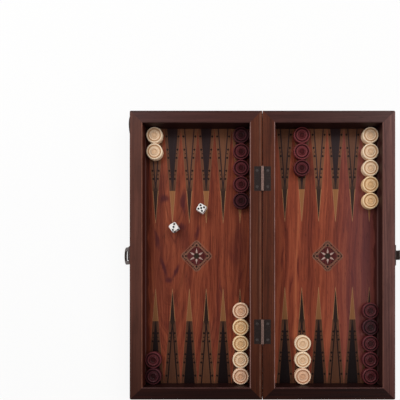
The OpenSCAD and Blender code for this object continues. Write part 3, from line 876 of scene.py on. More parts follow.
@dataclass(frozen=True)
class AntiqueMetal(Finish):
    """Plated steel, darkened with acid and rubbed back: dull and mottled, and bright where hands rub."""

    dark: str
    middle: str
    rubbed: str
    mottle_mm: float = 2.381
    edge_r: float = 0.35 * MM
    # Likeness of the rounded and the true face where an edge's rub begins and where it is full, and its share
    edge_from: Span = (0.99, 0.85)
    edge_share: float = 0.75
    # A hinge's barrel is lighter: metal rubbed bright, and painted highlight on its round knuckles
    barrel: str = ""
    barrel_x: float = 0.0
    barrel_half: float = 2.7 * MM
    barrel_fade: float = 0.3 * MM
    # Values of the mottling where the barrel is rubbed least and most, and the least share
    rub_from: Span = (0.2, 0.5)
    rub_least: float = 0.5
    roughness: float = 0.42
    # How much duller its darkest mottles are and glossier its lightest, and their values
    duller: float = 0.14
    glossier: float = 0.1
    polish_from: Span = (0.25, 0.75)
    relief: float = 0.05 * MM
    relief_share: float = 0.3
    # Share that is bare metal; the rest is dull brown patina, which scatters light as paint does
    bare: float = 0.5
    # Brass nail heads on the left side face: places north and up, and radius
    studs: tuple[Point, ...] = ()
    stud_shade: str = "#c9ab74"
    stud_r: float = 1.4 * MM

    def dress(self, tree: Tree, shader: Node) -> None:
        """Fills in the shader with mottling, rubbed edges and, on a hinge, its barrel, rubbed and with
        painted highlight.

        Args:
            tree: the material's node tree.
            shader: its principled shader.
        """
        place = add_node(tree, "TexCoord").outputs["Object"]
        (scale,) = per_metre(self.mottle_mm)
        spots = {"Vector": place, "Scale": scale, "Detail": 4.0, "Roughness": 0.65}
        mottle = add_node(tree, "TexNoise", spots)
        stops = ((0.3, self.dark), (0.6, self.middle), (0.8, self.rubbed))
        colour: Link = add_node(tree, "ValToRGB", (mottle,), stops)
        # An edge is where the face leans away from its own rounded self
        rounded = add_node(tree, "Bevel", {"Radius": self.edge_r}, samples=6)
        true = add_node(tree, "NewGeometry").outputs["True Normal"]
        likeness = add_node(tree, "VectorMath", (rounded, true), operation="DOT_PRODUCT").outputs["Value"]
        edge = add_node(tree, "MapRange", (likeness, *self.edge_from, 0.0, self.edge_share))
        colour = tinted(tree, colour, edge, self.rubbed)
        # Painted highlight on the hinge's barrel, over metal rubbed bright
        if self.barrel:
            off = off_from(tree, add_node(tree, "SeparateXYZ", (place,)).outputs[0], self.barrel_x)
            fade = (off, self.barrel_half, self.barrel_half - self.barrel_fade, 0.0, 1.0)
            on_barrel = add_node(tree, "MapRange", fade)
            rub = add_node(tree, "MapRange", (mottle, *self.rub_from, self.rub_least, 1.0))
            colour = tinted(tree, colour, all_of(tree, on_barrel, rub), self.barrel)
        for north, up in self.studs:
            side = add_node(tree, "VectorMath", (place, (0.0, 1.0, 1.0)), operation="MULTIPLY")
            away = add_node(tree, "VectorMath", (side, (0.0, north, up)), operation="DISTANCE")
            head = add_node(tree, "Math", (away.outputs["Value"], self.stud_r), operation="LESS_THAN")
            colour = tinted(tree, colour, head, self.stud_shade)
        polish = (self.roughness + self.duller, self.roughness - self.glossier)
        felt = {"Height": mottle, "Distance": self.relief, "Strength": self.relief_share}
        looks = {
            "Base Color": colour,
            "Roughness": add_node(tree, "MapRange", (mottle, *self.polish_from, *polish)),
            "Normal": add_node(tree, "Bump", felt),
            "Metallic": self.bare,
        }
        fill(tree, shader, looks)


@dataclass(frozen=True)
class PaleTable(Finish):
    """Matt white table that fades into the studio, and keeps a faint shadow of what lies on it."""

    shade: str = "#f2f1ef"
    roughness: float = 0.9
    # Share of what eyes and mirrors see that is plain white
    fade: float = 0.88

    def dress(self, tree: Tree, shader: Node) -> None:
        """Fills in the shader, which eyes and mirrors see brighter than lamps do.

        Args:
            tree: the material's node tree.
            shader: its principled shader.
        """
        matt = {"Base Color": linear(self.shade), "Roughness": self.roughness, "Specular IOR Level": 0.0}
        fill(tree, shader, matt)
        glow = add_node(tree, "Emission", {"Color": (1, 1, 1, 1), "Strength": 1.0})
        path = add_node(tree, "LightPath").outputs
        seen: Link = path["Is Camera Ray"]
        for ray in ("Is Glossy Ray", "Is Transmission Ray"):
            seen = add_node(tree, "Math", (seen, path[ray]), operation="MAXIMUM")
        both = add_node(tree, "MixShader", (all_of(tree, seen, self.fade), shader, glow))
        tree.links.new(both.outputs[0], tree.nodes["Material Output"].inputs[0])


@dataclass(frozen=True)
class BoardPlan:
    """Sizes that the looks share with the solids, in metres. x is measured from the seam."""

    seam_x: float
    tray_near: float
    tray_far: float
    tray_y: float
    play_z: float
    points_from: Mapping[Half, float]
    point_len: float = 164 * MM
    point_margin: float = 1.7 * MM
    point_gap: float = 0.6 * MM
    base_strip: float = 1.6 * MM
    core_share: float = 0.64
    core_turn: float = 0.645
    core_end: float = 2.0 * MM
    chess_square: float = 40.5 * MM
    points_north: Mapping[Half, float] = field(
        default_factory=lambda: {Half.LEFT: 0.0, Half.RIGHT: 3.0 * MM}
    )
    rosette_out: Mapping[Half, float] = field(
        default_factory=lambda: {Half.LEFT: 2.1 * MM, Half.RIGHT: 4.2 * MM}
    )

    @classmethod
    def measured(cls) -> BoardPlan:
        """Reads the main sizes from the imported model.

        Returns:
            The plan.
        """
        low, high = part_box("right_play_panel")
        seam = (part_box("left_hinge_rail")[1].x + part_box("right_hinge_rail")[0].x) / 2
        return cls(
            seam_x=seam,
            tray_near=low.x - seam,
            tray_far=high.x - seam,
            tray_y=high.y,
            play_z=high.z,
            points_from={
                Half.LEFT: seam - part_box("left_light_inlays")[1].x,
                Half.RIGHT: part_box("right_light_inlays")[0].x - seam,
            },
        )

    @property
    def pitch(self) -> float:
        """Distance from one point to the next."""
        return (self.tray_far - self.tray_near - 2 * self.point_margin) / 6

    @property
    def point_w(self) -> float:
        """Width of a point at its base."""
        return self.pitch - self.point_gap

    @property
    def turn_at(self) -> float:
        """Distance from the board's middle to where the points' cores end."""
        return self.tray_y - self.base_strip - self.core_turn * self.point_len

    def core_half(self, reach: float) -> float:
        """Half the width of a point's core.

        Args:
            reach: distance from the point's base.

        Returns:
            Half the width there.
        """
        base = self.point_w * self.core_share
        share = reach / (self.core_turn * self.point_len)
        return (base + (self.core_end - base) * share) / 2

    def rosette_x(self, half: Half) -> float:
        """Place of a rosette's centre across the frame."""
        return self.x(half, (self.tray_near + self.tray_far) / 2 + self.rosette_out[half])

    def x(self, half: Half, out: float) -> float:
        """Place in the frame of something that is so far out from the seam."""
        return self.seam_x + half.value * out


def loop_of(points: Sequence[Any]) -> Iterable[tuple[Any, Any]]:
    """Each point with the next one, and the last with the first."""
    return pairwise([*points, points[0]])


@dataclass
class FlushInlay:
    """Thin pieces of veneer let into a flat face, gathered into one mesh.

    The pieces stand 0.03 mm proud of the face, as filled and lacquered inlay does, and reach 0.3 mm into it.
    """

    name: str
    level: float
    facing: Facing = Facing.UP
    proud: float = 0.03 * MM
    deep: float = 0.3 * MM
    outlines: list[list[Point]] = field(default_factory=list)

    def piece(self, outline: Sequence[Point]) -> None:
        """Adds one flat piece with this outline, which may run either way round."""
        area = sum(a[0] * b[1] - b[0] * a[1] for a, b in loop_of(outline))
        self.outlines.append(list(outline if area > 0 else reversed(outline)))

    def disc(
        self, centre: Point, radius: float, sides: int = 20, squash: float = 1.0, turn: float = 0.0
    ) -> None:
        """Adds a round piece, or an oval one.

        Args:
            centre: its middle.
            radius: its radius along its long side.
            sides: number of corners.
            squash: share of the radius that the short side takes.
            turn: angle of its long side, in radians.
        """
        points = []
        c, s = math.cos(turn), math.sin(turn)
        for i in range(sides):
            a = math.tau * i / sides
            u, v = radius * math.cos(a), radius * squash * math.sin(a)
            points.append((centre[0] + u * c - v * s, centre[1] + u * s + v * c))
        self.piece(points)

    def strip(self, start: Point, end: Point, width: float, end_width: float | None = None) -> None:
        """Adds a straight strip, which may narrow towards its end.

        Args:
            start: middle of its first end.
            end: middle of its last end.
            width: width at the first end.
            end_width: width at the last end, if it is another.
        """
        along = Vector(end) - Vector(start)
        side = Vector((-along.y, along.x)).normalized()
        a, b = side * width / 2, side * (width if end_width is None else end_width) / 2
        s, e = Vector(start), Vector(end)
        self.piece([tuple(s - a), tuple(e - b), tuple(e + b), tuple(s + a)])

    def build(self, finish: Finish, body: str, slot: str | None) -> bpy.types.Object:
        """Makes the mesh, dresses it and lets it ride on its body.

        Args:
            finish: the veneer's finish.
            body: body that it rides on.
            slot: the record's material slot, if it has one.

        Returns:
            The new object.
        """
        top = self.level + self.facing.value * self.proud
        bottom = self.level - self.facing.value * self.deep
        mesh = bmesh.new()
        for outline in self.outlines:
            points = outline if self.facing is Facing.UP else outline[::-1]
            upper = [mesh.verts.new((x, y, top)) for x, y in points]
            lower = [mesh.verts.new((x, y, bottom)) for x, y in points]
            mesh.faces.new(upper)
            mesh.faces.new(lower[::-1])
            for i, j in loop_of(range(len(points))):
                mesh.faces.new((upper[i], lower[i], lower[j], upper[j]))
        return finished_piece(self.name, mesh, finish, body, slot)


def new_object(name: str, mesh: bmesh.types.BMesh, finish: Finish) -> bpy.types.Object:
    """Turns mesh code into a dressed object of the scene.

    Args:
        name: the object's name.
        mesh: its mesh, which is freed.
        finish: its finish.

    Returns:
        The new object.
    """
    data = bpy.data.meshes.new(name)
    mesh.to_mesh(data)
    mesh.free()
    data.materials.append(finish.build())
    made = bpy.data.objects.new(name, data)
    bpy.context.scene.collection.objects.link(made)
    return made


def finished_piece(
    name: str, mesh: bmesh.types.BMesh, finish: Finish, body: str, slot: str | None
) -> bpy.types.Object:
    """Turns mesh code into a dressed object that rides on a body.

    Args:
        name: the piece's name.
        mesh: its mesh, in the frame's place.
        finish: its finish.
        body: body that it rides on.
        slot: the record's material slot, if it has one; not used.

    Returns:
        The new object.
    """
    piece = new_object(name, mesh, finish)
    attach(piece, body)
    log.info("made %s: %d faces, rides on %s", name, len(piece.data.polygons), body)
    return piece


def dress_node(name: str, finish: Finish) -> None:
    """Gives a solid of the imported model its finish.

    Args:
        name: the node's name.
        finish: its finish.
    """
    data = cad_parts[name].data
    data.materials.clear()
    data.materials.append(finish.build())
    log.info("dressed %s in %s", name, finish.name)


def even_stops(*shades: str) -> Stops:
    """A ramp of shades at even distances, from the darkest to the lightest."""
    return tuple((i / (len(shades) - 1), shade) for i, shade in enumerate(shades))


ROSEWOOD = even_stops("#491b15", "#642b1e", "#7a3926", "#8d472f", "#a45b3d")
GOLDEN_ROSEWOOD = even_stops("#562219", "#723323", "#89402b", "#984d34", "#a45b3b")


@dataclass(frozen=True)
class Stick:
    """The stick of walnut that a rail was cut from, and the rail's painted highlights on rubbed edges and its
    painted shade.
    """

    axis: GrainAxis
    shades: Stops
    inner_at: float
    lines: tuple[WearAndHighlightLine, ...] = ()
    foot: float = 0.0
    south: float = 0.0
    painted_south_shade: str = "#1c0a05"
    painted_inner_shade: str = "#1d0b0a"


@dataclass
class Rails:
    """The four mitred walnut rails of one half. Each was cut from a stick of its own tone; the south rail's
    darker shades are partly painted shade.
    """

    half: Half
    plan: BoardPlan
    # The right half's sticks lie so far from the left half's in the same noise
    seed_step: float = 7.3

    def sticks(self) -> dict[str, Stick]:
        """Describes the rails' sticks.

        Returns:
            Each rail's stick, by the rail's name.
        """
        left = self.half is Half.LEFT
        near = self.plan.x(self.half, self.plan.tray_near)
        far = self.plan.x(self.half, self.plan.tray_far)
        end_y = self.plan.tray_y
        hinge_lines = [WearAndHighlightLine(near, 1.8 * MM, 0.9 if left else 1.0, "#93706a")]
        if left:
            hinge_lines.append(WearAndHighlightLine(self.plan.x(self.half, 4.0 * MM), 0.9 * MM, 0.6, "#84604f"))
        outer_shades = ("#40221c", "#553026", "#683d32") if left else ("#472825", "#5c3833", "#714a43")
        return {
            "north_rail": Stick(GrainAxis.ALONG_X, even_stops("#371e1c", "#452723", "#54322e"), end_y),
            # Darker shades than the north rail's: partly painted shade, at the end where less light falls
            "south_rail": Stick(
                GrainAxis.ALONG_X,
                even_stops("#140605", "#220e0b", "#32150e"),
                -end_y,
                (WearAndHighlightLine(-end_y, share=0.5, shade="#6a4340"),),
            ),
            "outer_rail": Stick(
                GrainAxis.ALONG_Y,
                even_stops(*outer_shades),
                far,
                (WearAndHighlightLine(far, share=0.75 if left else 0.3, shade="#8a5540"),),
                foot=0.7,
                south=0.6 if left else 0.35,
                painted_inner_shade="#37130e" if left else "#1d0b0a",
            ),
            "hinge_rail": Stick(
                GrainAxis.ALONG_Y,
                even_stops("#3c1f14", "#53291c", "#683a26"),
                near,
                tuple(hinge_lines),
                south=0.65,
                painted_south_shade="#2c1004",
            ),
        }

    def dress(self) -> None:
        """Gives each rail its finish."""
        for number, (part, stick) in enumerate(self.sticks().items()):
            name = f"{self.half.word}_{part}"
            grain = Grain(
                shades=stick.shades,
                axis=stick.axis,
                heart_across=140,
                depth=60,
                tilt=0.015,
                ring=3.2,
                wave=7,
                figure=0.2,
                seed=number + (0 if self.half is Half.LEFT else self.seed_step),
            )
            finish = RailWood(
                f"{name}_walnut",
                grain,
                figure_shade="#1e0f0c",
                across=1 if stick.axis is GrainAxis.ALONG_X else 0,
                inner_at=stick.inner_at,
                lines=stick.lines,
                foot=stick.foot,
                south=stick.south,
                painted_south_shade=stick.painted_south_shade,
                painted_inner_shade=stick.painted_inner_shade,
            )
            dress_node(name, finish)


@dataclass
class Panels:
    """Playing panel and outer panel of one half, in rosewood veneer, with the pearl squares."""

    half: Half
    plan: BoardPlan
    # Dark heartwood in each playing panel. In mm, out from the seam, north, half width and half length; then
    # its turn in degrees and its share
    heartwood: Mapping[Half, tuple[tuple[float, float, float, float, float, float], ...]] = field(
        default_factory=lambda: {
            Half.LEFT: (
                (135, 92, 7, 30, 0, 0.85),
                (168, 100, 13, 10, 0, 0.8),
                (138, 50, 10, 9, 0, 0.7),
                (181, 28, 5, 26, 12, 0.75),
                (169, -19, 5, 26, 18, 0.9),
                (148, -26, 5, 20, -27, 0.9),
                (160, -42, 8, 8, 0, 0.8),
                (111, 40, 5, 18, -12, 0.7),
                (70, -55, 3, 26, 8, 0.5),
            ),
            Half.RIGHT: (
                (64, -22, 3.2, 28, 2, 0.85),
                (36, -2, 3.6, 26, -4, 0.75),
                (50, -52, 3.0, 24, -6, 0.7),
                (158, -38, 3.6, 30, 8, 0.6),
                (150, 60, 3.2, 42, -3, 0.55),
                (100, 36, 3.0, 26, 0, 0.5),
            ),
        }
    )
    # A band of colour or of painted shadow runs the panel's whole length: its half length is more than any
    # board's
    whole_length: float = 9.0

    def marks(self) -> Iterable[Mark]:
        """Describes the streaks of the playing panel.

        Returns:
            Its dark heartwood, and the painted shadow along the foot of its outer wall.
        """
        p = self.plan
        shade = "#451a20" if self.half is Half.LEFT else "#561f1b"
        for out, north, wide, long, turn, share in self.heartwood[self.half]:
            x = p.x(self.half, out * MM)
            yield Mark(x, north * MM, wide * MM, long * MM, share, shade, core=0.2, turn=math.radians(turn))
        if self.half is Half.RIGHT:
            # This panel turns from orange to plum toward its outer side
            outer = p.x(self.half, 192 * MM)
            yield Mark(outer, 0.0, 92 * MM, self.whole_length, share=0.62, shade="#5e3438", core=0.15)
        # Painted shadow: a dark band on the panel along the foot of its outer wall
        wall = p.x(self.half, p.tray_far)
        yield Mark(wall, 0.0, 6.5 * MM, self.whole_length, share=0.7, shade="#2e110d", core=0.5)

    def dress(self) -> None:
        """Gives the panels and the pearl squares their finishes."""
        word = self.half.word
        marks = tuple(self.marks())
        if self.half is Half.LEFT:
            play = Grain(
                ROSEWOOD, heart_across=-145, heart_along=260, depth=0, tilt=0.14, ring=12,
                wave=26, figure=0.35, veins=0.45, marks=marks, seed=3.1,
            )
        else:
            play = Grain(
                GOLDEN_ROSEWOOD, heart_across=330, heart_along=0, depth=60, tilt=0.05, ring=11,
                wave=30, figure=0.2, veins=0.5, marks=marks, seed=8.4,
            )
        outer = Grain(
            ROSEWOOD, heart_across=-130 if self.half is Half.LEFT else 140, heart_along=-330,
            depth=20, tilt=0.09, ring=12, wave=22, figure=0.4, veins=0.4, seed=12.7 + self.half.value,
        )
        dress_node(f"{word}_play_panel", LacqueredWood(f"{word}_rosewood", play))
        dress_node(f"{word}_outer_panel", BevelledVeneer(f"{word}_outer_rosewood", outer))
        dress_node(f"{word}_pearl_squares", PearlSheet("pearl"))


BEAD_VENEER = InlaidWood("bead_veneer", "#1d0f0c", "#100605")


@dataclass
class Points:
    """The points of one half: their two woods, the pale edging round each, and the dark beads beside it."""

    half: Half
    plan: BoardPlan
    edging: float = 0.8 * MM
    # Share of the point's length that the edging runs, and how much of its width is left there
    edging_end: float = 0.985
    edging_tip: float = 0.6
    bead: float = 2.35 * MM
    small_bead: float = 1.2 * MM
    bead_proud: float = 0.05 * MM
    # Distance of each pair of beads from the base, and how far beside the core's edge they lie
    beads: tuple[tuple[float, float], ...] = (
        (11.6 * MM, 2.1 * MM),
        (34.4 * MM, 2.2 * MM),
        (48.6 * MM, 1.7 * MM),
        (71 * MM, 1.8 * MM),
        (85.1 * MM, 1.4 * MM),
    )
    small_beads: tuple[float, ...] = (41.5 * MM, 78 * MM)
    rail_gap: float = 0.1 * MM

    def bases(self) -> Iterable[tuple[float, float, int]]:
        """Finds the points' bases.

        Returns:
            Each point's middle, its base's y, and the way its tip points.
        """
        p = self.plan
        for i in range(6):
            out = p.points_from[self.half] + (i + 0.5) * p.pitch
            for end in (-1, 1):
                base = end * (p.tray_y - p.base_strip) + p.points_north[self.half]
                yield p.x(self.half, out), base, -end

    def half_width(self, reach: float) -> float:
        """Half the point's width, so far from its base."""
        return self.plan.point_w / 2 * min(1.0, 1 - reach / self.plan.point_len)

    def edge_line(self, art: FlushInlay, x: float, base: float, way: int, side: int) -> None:
        """Adds the pale line along one side of a point, from the end rail to near its tip.

        Args:
            art: the inlay that it goes into.
            x: the point's middle.
            base: y of the point's base.
            way: way its tip points, 1 for north.
            side: side of the point, 1 for east.
        """
        p = self.plan
        # The line runs on to the rail where the base stops short of it, and starts there where it goes past
        wall = (-way * (p.tray_y - self.rail_gap) - base) * way
        tip = p.point_len * self.edging_end
        reaches = [reach for reach in sorted({0.0, wall}) if reach >= wall] + [tip]
        for near, far in pairwise(reaches):
            # The line lies inside the point's edge by half its width, and by less at the narrow tip
            ends = [
                (x + side * (self.half_width(r) - self.edging * (0.2 if r == tip else 0.5)), base + way * r)
                for r in (near, far)
            ]
            # What would lie under the outer rail is left out
            if abs(ends[0][0] - p.seam_x) < p.tray_far:
                art.strip(*ends, self.edging, self.edging * (self.edging_tip if far == tip else 1.0))

    def bead_pairs(self, art: FlushInlay, x: float, base: float, way: int, side: int) -> None:
        """Adds the beads along one side of a point's core.

        Args:
            art: the inlay that they go into.
            x: the point's middle.
            base: y of the point's base.
            way: way its tip points, 1 for north.
            side: side of the point, 1 for east.
        """
        p = self.plan
        for reach, aside in self.beads:
            out = x + side * (p.core_half(reach) + aside)
            if abs(out - p.seam_x) < p.tray_far - self.bead:
                art.disc((out, base + way * reach), self.bead, 4, 0.85, math.pi / 2)
        for reach in self.small_beads:
            out = x + side * (p.core_half(reach) + self.small_bead)
            art.disc((out, base + way * reach), self.small_bead, 4)

    def dress(self) -> None:
        """Gives the two woods their finishes and adds the edging and the beads."""
        p = self.plan
        word, body = self.half.word, self.half.body
        tips = {
            "first": p.x(self.half, p.points_from[self.half]),
            "tip_y": p.turn_at,
            "north": p.points_north[self.half],
        }
        # Each veneer's south share and shade are painted shade towards the south end
        tan = InlaidWood(
            f"{word}_tan_veneer", "#7b4f36", "#46281d", turn="#4b3024", tip="#8c5c38", rosette="#6f493a",
            south=0.42, **tips,
        )
        dark = InlaidWood(
            f"{word}_dark_veneer", "#342426", "#1d0f0d", spread=0.9, south=0.8, painted_south_shade="#080202",
            turn="#3d2a20", tip="#33221b", rosette="#4a1c18", **tips,
        )
        pale = InlaidWood(f"{word}_pale_veneer", "#85593f", "#603c2c", tip="#a57653", south=0.3, **tips)
        dress_node(f"{word}_light_inlays", tan)
        dress_node(f"{word}_dark_inlays", dark)
        edging = FlushInlay(f"{word}_point_edging", p.play_z)
        beads = FlushInlay(f"{word}_point_beads", p.play_z, proud=self.bead_proud)
        for x, base, way in self.bases():
            for side in (-1, 1):
                self.edge_line(edging, x, base, way, side)
                self.bead_pairs(beads, x, base, way, side)
        edging.build(pale, body, "light_inlay")
        beads.build(BEAD_VENEER, body, "dark_inlay")


@dataclass(frozen=True)
class Bead:
    """A bead of a rosette: its distance from the middle, its size, and where it lies in its quarter."""

    reach: float
    radius: float
    sides: int
    # Degrees from the quarter's corner, and how far aside of that line
    turn: float = 0.0
    aside: float = 0.0


@dataclass
class Rosette:
    """Rosette in the middle of one half: a red field with six pearly petals, in a beaded tan frame."""

    half: Half
    plan: BoardPlan
    field_half: float = 16.6 * MM
    # How full the field's sides are: 1 is a plain diamond and 2 a circle
    field_swell: float = 1.35
    eye: float = 4.8 * MM
    petal_in: float = 5.0 * MM
    petal_out: float = 13.5 * MM
    petal_w: float = 3.2 * MM
    # Shares of the petal's length, and of its width there
    petal_shape: tuple[Point, ...] = (
        (0.0, 0.62), (0.12, 0.98), (0.32, 1.0), (0.55, 0.64), (0.8, 0.26), (1.0, 0.06),
    )
    dot_step: float = 3.4 * MM
    dot_inset: float = 2.4 * MM
    dot_r: float = 0.85 * MM
    # Where the frame's straight sides would meet, its real tip, and how much more the sides move than the tip
    # does when it is drawn smaller
    outline_sum: float = 28.6 * MM
    outline_tip: float = 26.6 * MM
    side_inset: float = 1.5
    # The round of a corner: its half width, shares of that where it leaves the side, and its blunt nose
    corner_half: float = 3.0 * MM
    corner_bends: tuple[float, float] = (1.6, 1.1)
    corner_nose: float = 0.55
    corner_drop: float = 0.5 * MM
    corner_bead: Bead = Bead(18.4 * MM, 1.7 * MM, 10)
    # This one is only in the corners to the east and west
    outer_bead: Bead = Bead(23.6 * MM, 1.4 * MM, 8)
    # These are on both sides
    paired_beads: tuple[Bead, ...] = (
        Bead(18.2 * MM, 1.1 * MM, 8, aside=6.2 * MM),
        Bead(12.6 * MM, 1.0 * MM, 6, turn=45.0, aside=3.2 * MM),
    )
    line: float = 0.75 * MM
    inner_line: float = 4.6 * MM
    petal_proud: float = 0.06 * MM
    bead_proud: float = 0.05 * MM

    @property
    def centre(self) -> Point:
        """Middle of the rosette in the frame."""
        return self.plan.rosette_x(self.half), 0.0

    def at(self, angle: float, radius: float, aside: float = 0.0) -> Point:
        """Finds a point of the rosette.

        Args:
            angle: its direction from the middle, in degrees.
            radius: its distance from the middle.
            aside: how far it is moved aside from there.

        Returns:
            The point in the frame.
        """
        a = math.radians(angle)
        cx, cy = self.centre
        return (
            cx + radius * math.cos(a) - aside * math.sin(a),
            cy + radius * math.sin(a) + aside * math.cos(a),
        )

    def petal(self, angle: float) -> list[Point]:
        """Draws a petal: broad and blunt near the eye, and pointed outside.

        Args:
            angle: its direction, in degrees.

        Returns:
            Its outline.
        """
        length = self.petal_out - self.petal_in
        right, left = (
            [
                self.at(angle, self.petal_in + share * length, side * wide * self.petal_w / 2)
                for share, wide in self.petal_shape
            ]
            for side in (1, -1)
        )
        return right + left[::-1]

    def outline(self, inset: float) -> list[Point]:
        """Draws the frame's outer edge, a diamond with rounded corners.

        Args:
            inset: how far it is moved inward.

        Returns:
            Its outline.
        """
        edge = self.outline_sum - inset * self.side_inset
        tip, half = self.outline_tip - inset, self.corner_half
        # The corner's round runs from one straight side to the next through the tip
        bend = [(edge - half * share, half * share) for share in self.corner_bends]
        bend.append((tip - self.corner_drop, half * self.corner_nose))
        corner = [(radius, -aside) for radius, aside in bend] + [(tip, 0.0)] + bend[::-1]
        return [self.at(angle, *place) for angle in (0.0, 90.0, 180.0, 270.0) for place in corner]

    def ring(self, art: FlushInlay, inset: float, width: float) -> None:
        """Adds a thin line that follows the frame's edge.

        Args:
            art: the inlay that it goes into.
            inset: how far inside the edge it runs.
            width: its width.
        """
        for a, b in loop_of(self.outline(inset)):
            art.strip(a, b, width)

    def dots(self, art: FlushInlay) -> None:
        """Adds a row of dots that follows the frame's edge.

        Args:
            art: the inlay that they go into.
        """
        left = 0.0
        for a, b in loop_of([Vector(p) for p in self.outline(self.dot_inset)]):
            length = (b - a).length
            while left < length:
                art.disc(tuple(a + (b - a) * (left / length)), self.dot_r, 7)
                left += self.dot_step
            left -= length

    def corner_beads(self, art: FlushInlay) -> None:
        """Adds the beads in the frame's corners, beside them and along the field's sides.

        Args:
            art: the inlay that they go into.
        """
        for corner in range(4):
            single = (self.corner_bead,) if corner % 2 else (self.corner_bead, self.outer_bead)
            paired = [(bead, side) for side in (-1, 1) for bead in self.paired_beads]
            for bead, side in [(bead, 0) for bead in single] + paired:
                place = self.at(90.0 * corner + bead.turn, bead.reach, side * bead.aside)
                art.disc(place, bead.radius, bead.sides)

    def field_outline(self) -> list[Point]:
        """Draws the red field, a diamond whose sides swell a little.

        Returns:
            Its outline.
        """
        points = []
        swell = self.field_swell
        for i in range(32):
            a = math.tau * i / 32
            c, s = abs(math.cos(a)), abs(math.sin(a))
            points.append(self.at(math.degrees(a), self.field_half / (c**swell + s**swell) ** (1 / swell)))
        return points

    def build(self) -> None:
        """Adds the rosette's own veneers over the tan frame and the dark field."""
        word, body, z = self.half.word, self.half.body, self.plan.play_z
        red = FlushInlay(f"{word}_rosette_field", z)
        red.piece(self.field_outline())
        red_grain = Grain(even_stops("#3a1212", "#501e1c", "#653030"), ring=2.0, wave=3, seed=5)
        red.build(LacqueredWood("rosette_red_veneer", red_grain), body, "rosewood")
        petals = FlushInlay(f"{word}_rosette_petals", z, proud=self.petal_proud)
        for i in range(6):
            petals.piece(self.petal(30 + 60 * i))
        petals.build(PearlSheet("petal_pearl", "#a98a80", "#c9ada3", "#94756b", 3.0), body, "pearl")
        eye = FlushInlay(f"{word}_rosette_eye", z, proud=self.petal_proud)
        eye.disc(self.centre, self.eye, 28)
        eye.build(InlaidWood("eye_veneer", "#3b2c22", "#221610", pitch=2 * MM), body, "dark_inlay")
        lines = FlushInlay(f"{word}_rosette_lines", z)
        self.ring(lines, 0.0, self.line)
        self.ring(lines, self.inner_line, self.line * 1.1)
        lines.build(InlaidWood("rosette_pale_veneer", "#946a57", "#744c3d"), body, "light_inlay")
        beads = FlushInlay(f"{word}_rosette_beads", z, proud=self.bead_proud)
        self.dots(beads)
        self.corner_beads(beads)
        beads.build(BEAD_VENEER, body, "dark_inlay")


@dataclass
class ChessBorder:
    """Border round one half's chessboard, on its outer face: thin tan lines and chains of small diamonds."""

    half: Half
    plan: BoardPlan
    near: float = 1.2 * MM
    band: float = 16 * MM
    line: float = 0.8 * MM
    slip: float = 0.55 * MM
    dot: float = 0.5 * MM
    motif: float = 9.0 * MM
    # Radius and flatness of its dark and its pearly oval, and reach of its slips along and aside, as shares
    oval: tuple[float, float] = (0.42, 0.6)
    pearl: tuple[float, float] = (0.27, 0.52)
    slips: tuple[float, float] = (0.62, 0.4)
    # Its diamonds: how far along they begin, are widest and end, as shares of the slips' reach
    diamond: tuple[float, float, float] = (0.8, 1.05, 1.3)
    diamond_half: float = 1 * MM
    # How far aside its small dots lie, as a share of the slips' width
    dot_aside: float = 1.3
    side_motifs: int = 12
    end_motifs: int = 5
    end_step: float = 25 * MM
    # How proud each veneer stands, so that they lie over each other in this order
    layers: Mapping[str, float] = field(
        default_factory=lambda: {"lines": 0.03 * MM, "dark": 0.03 * MM, "tan": 0.04 * MM, "pearl": 0.05 * MM}
    )

    def motif_at(self, centre: Point, turn: float, art: Mapping[str, FlushInlay]) -> None:
        """Adds one motif: a pearly oval in a dark one, between tan slips that meet in a diamond.

        Args:
            centre: middle of the motif.
            turn: direction of the chain, in radians.
            art: the border's inlays, by their veneers.
        """
        c, s = math.cos(turn), math.sin(turn)

        def put(along: float, aside: float) -> Point:
            """Point so far along and aside of the chain."""
            return centre[0] + along * c - aside * s, centre[1] + along * s + aside * c

        for layer, (radius, squash), sides in (("dark", self.oval, 16), ("pearl", self.pearl, 14)):
            art[layer].disc(centre, self.motif * radius, sides, squash, turn)
        reach, width = (self.motif * share for share in self.slips)
        begin, widest, end = self.diamond
        half = self.diamond_half
        for a, b in ((-1, -1), (-1, 1), (1, -1), (1, 1)):
            art["tan"].strip(put(a * reach, 0), put(0, b * width), self.slip)
        for a in (-1, 1):
            diamond = ((widest, -half), (end, 0), (widest, half), (begin, 0))
            art["dark"].piece([put(a * reach * share, aside) for share, aside in diamond])
            art["tan"].disc(put(0, a * width * self.dot_aside), self.dot, 6)

    def build(self) -> None:
        """Adds the border's lines and motifs."""
        p, h = self.plan, self.half
        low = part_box(f"{h.word}_outer_panel")[0].z
        art = {
            layer: FlushInlay(f"{h.word}_border_{layer}", low, Facing.DOWN, proud=proud)
            for layer, proud in self.layers.items()
        }
        # The chessboard's half is as wide from the seam as it is long from the middle
        inner = 4 * p.chess_square
        for out in (self.line, self.band):
            far = inner + out
            for end in (-1, 1):
                corner = (p.x(h, far + self.line / 2), end * far)
                art["lines"].strip((p.x(h, self.near), end * far), corner, self.line)
            art["lines"].strip((p.x(h, far), -far), (p.x(h, far), far), self.line)
        middle = self.band / 2 + self.line / 2
        for i in range(self.side_motifs):
            y = (i - (self.side_motifs - 1) / 2) * 2 * inner / self.side_motifs
            self.motif_at((p.x(h, inner + middle), y), math.pi / 2, art)
        for end in (-1, 1):
            for i in range(self.end_motifs):
                out = inner / 2 + (i - (self.end_motifs - 1) / 2) * self.end_step
                self.motif_at((p.x(h, out), end * (inner + middle)), 0.0, art)
        tan = InlaidWood("border_tan_veneer", "#b08a66", "#8d6748")
        pearl = PearlSheet("border_pearl", "#c8aa94", "#e6d3c0", "#b08f7c", 3.0)
        finishes = (
            ("lines", tan, "light_inlay"),
            ("tan", tan, "light_inlay"),
            ("dark", BEAD_VENEER, "dark_inlay"),
            ("pearl", pearl, "pearl"),
        )
        for layer, finish, slot in finishes:
            art[layer].build(finish, h.body, slot)


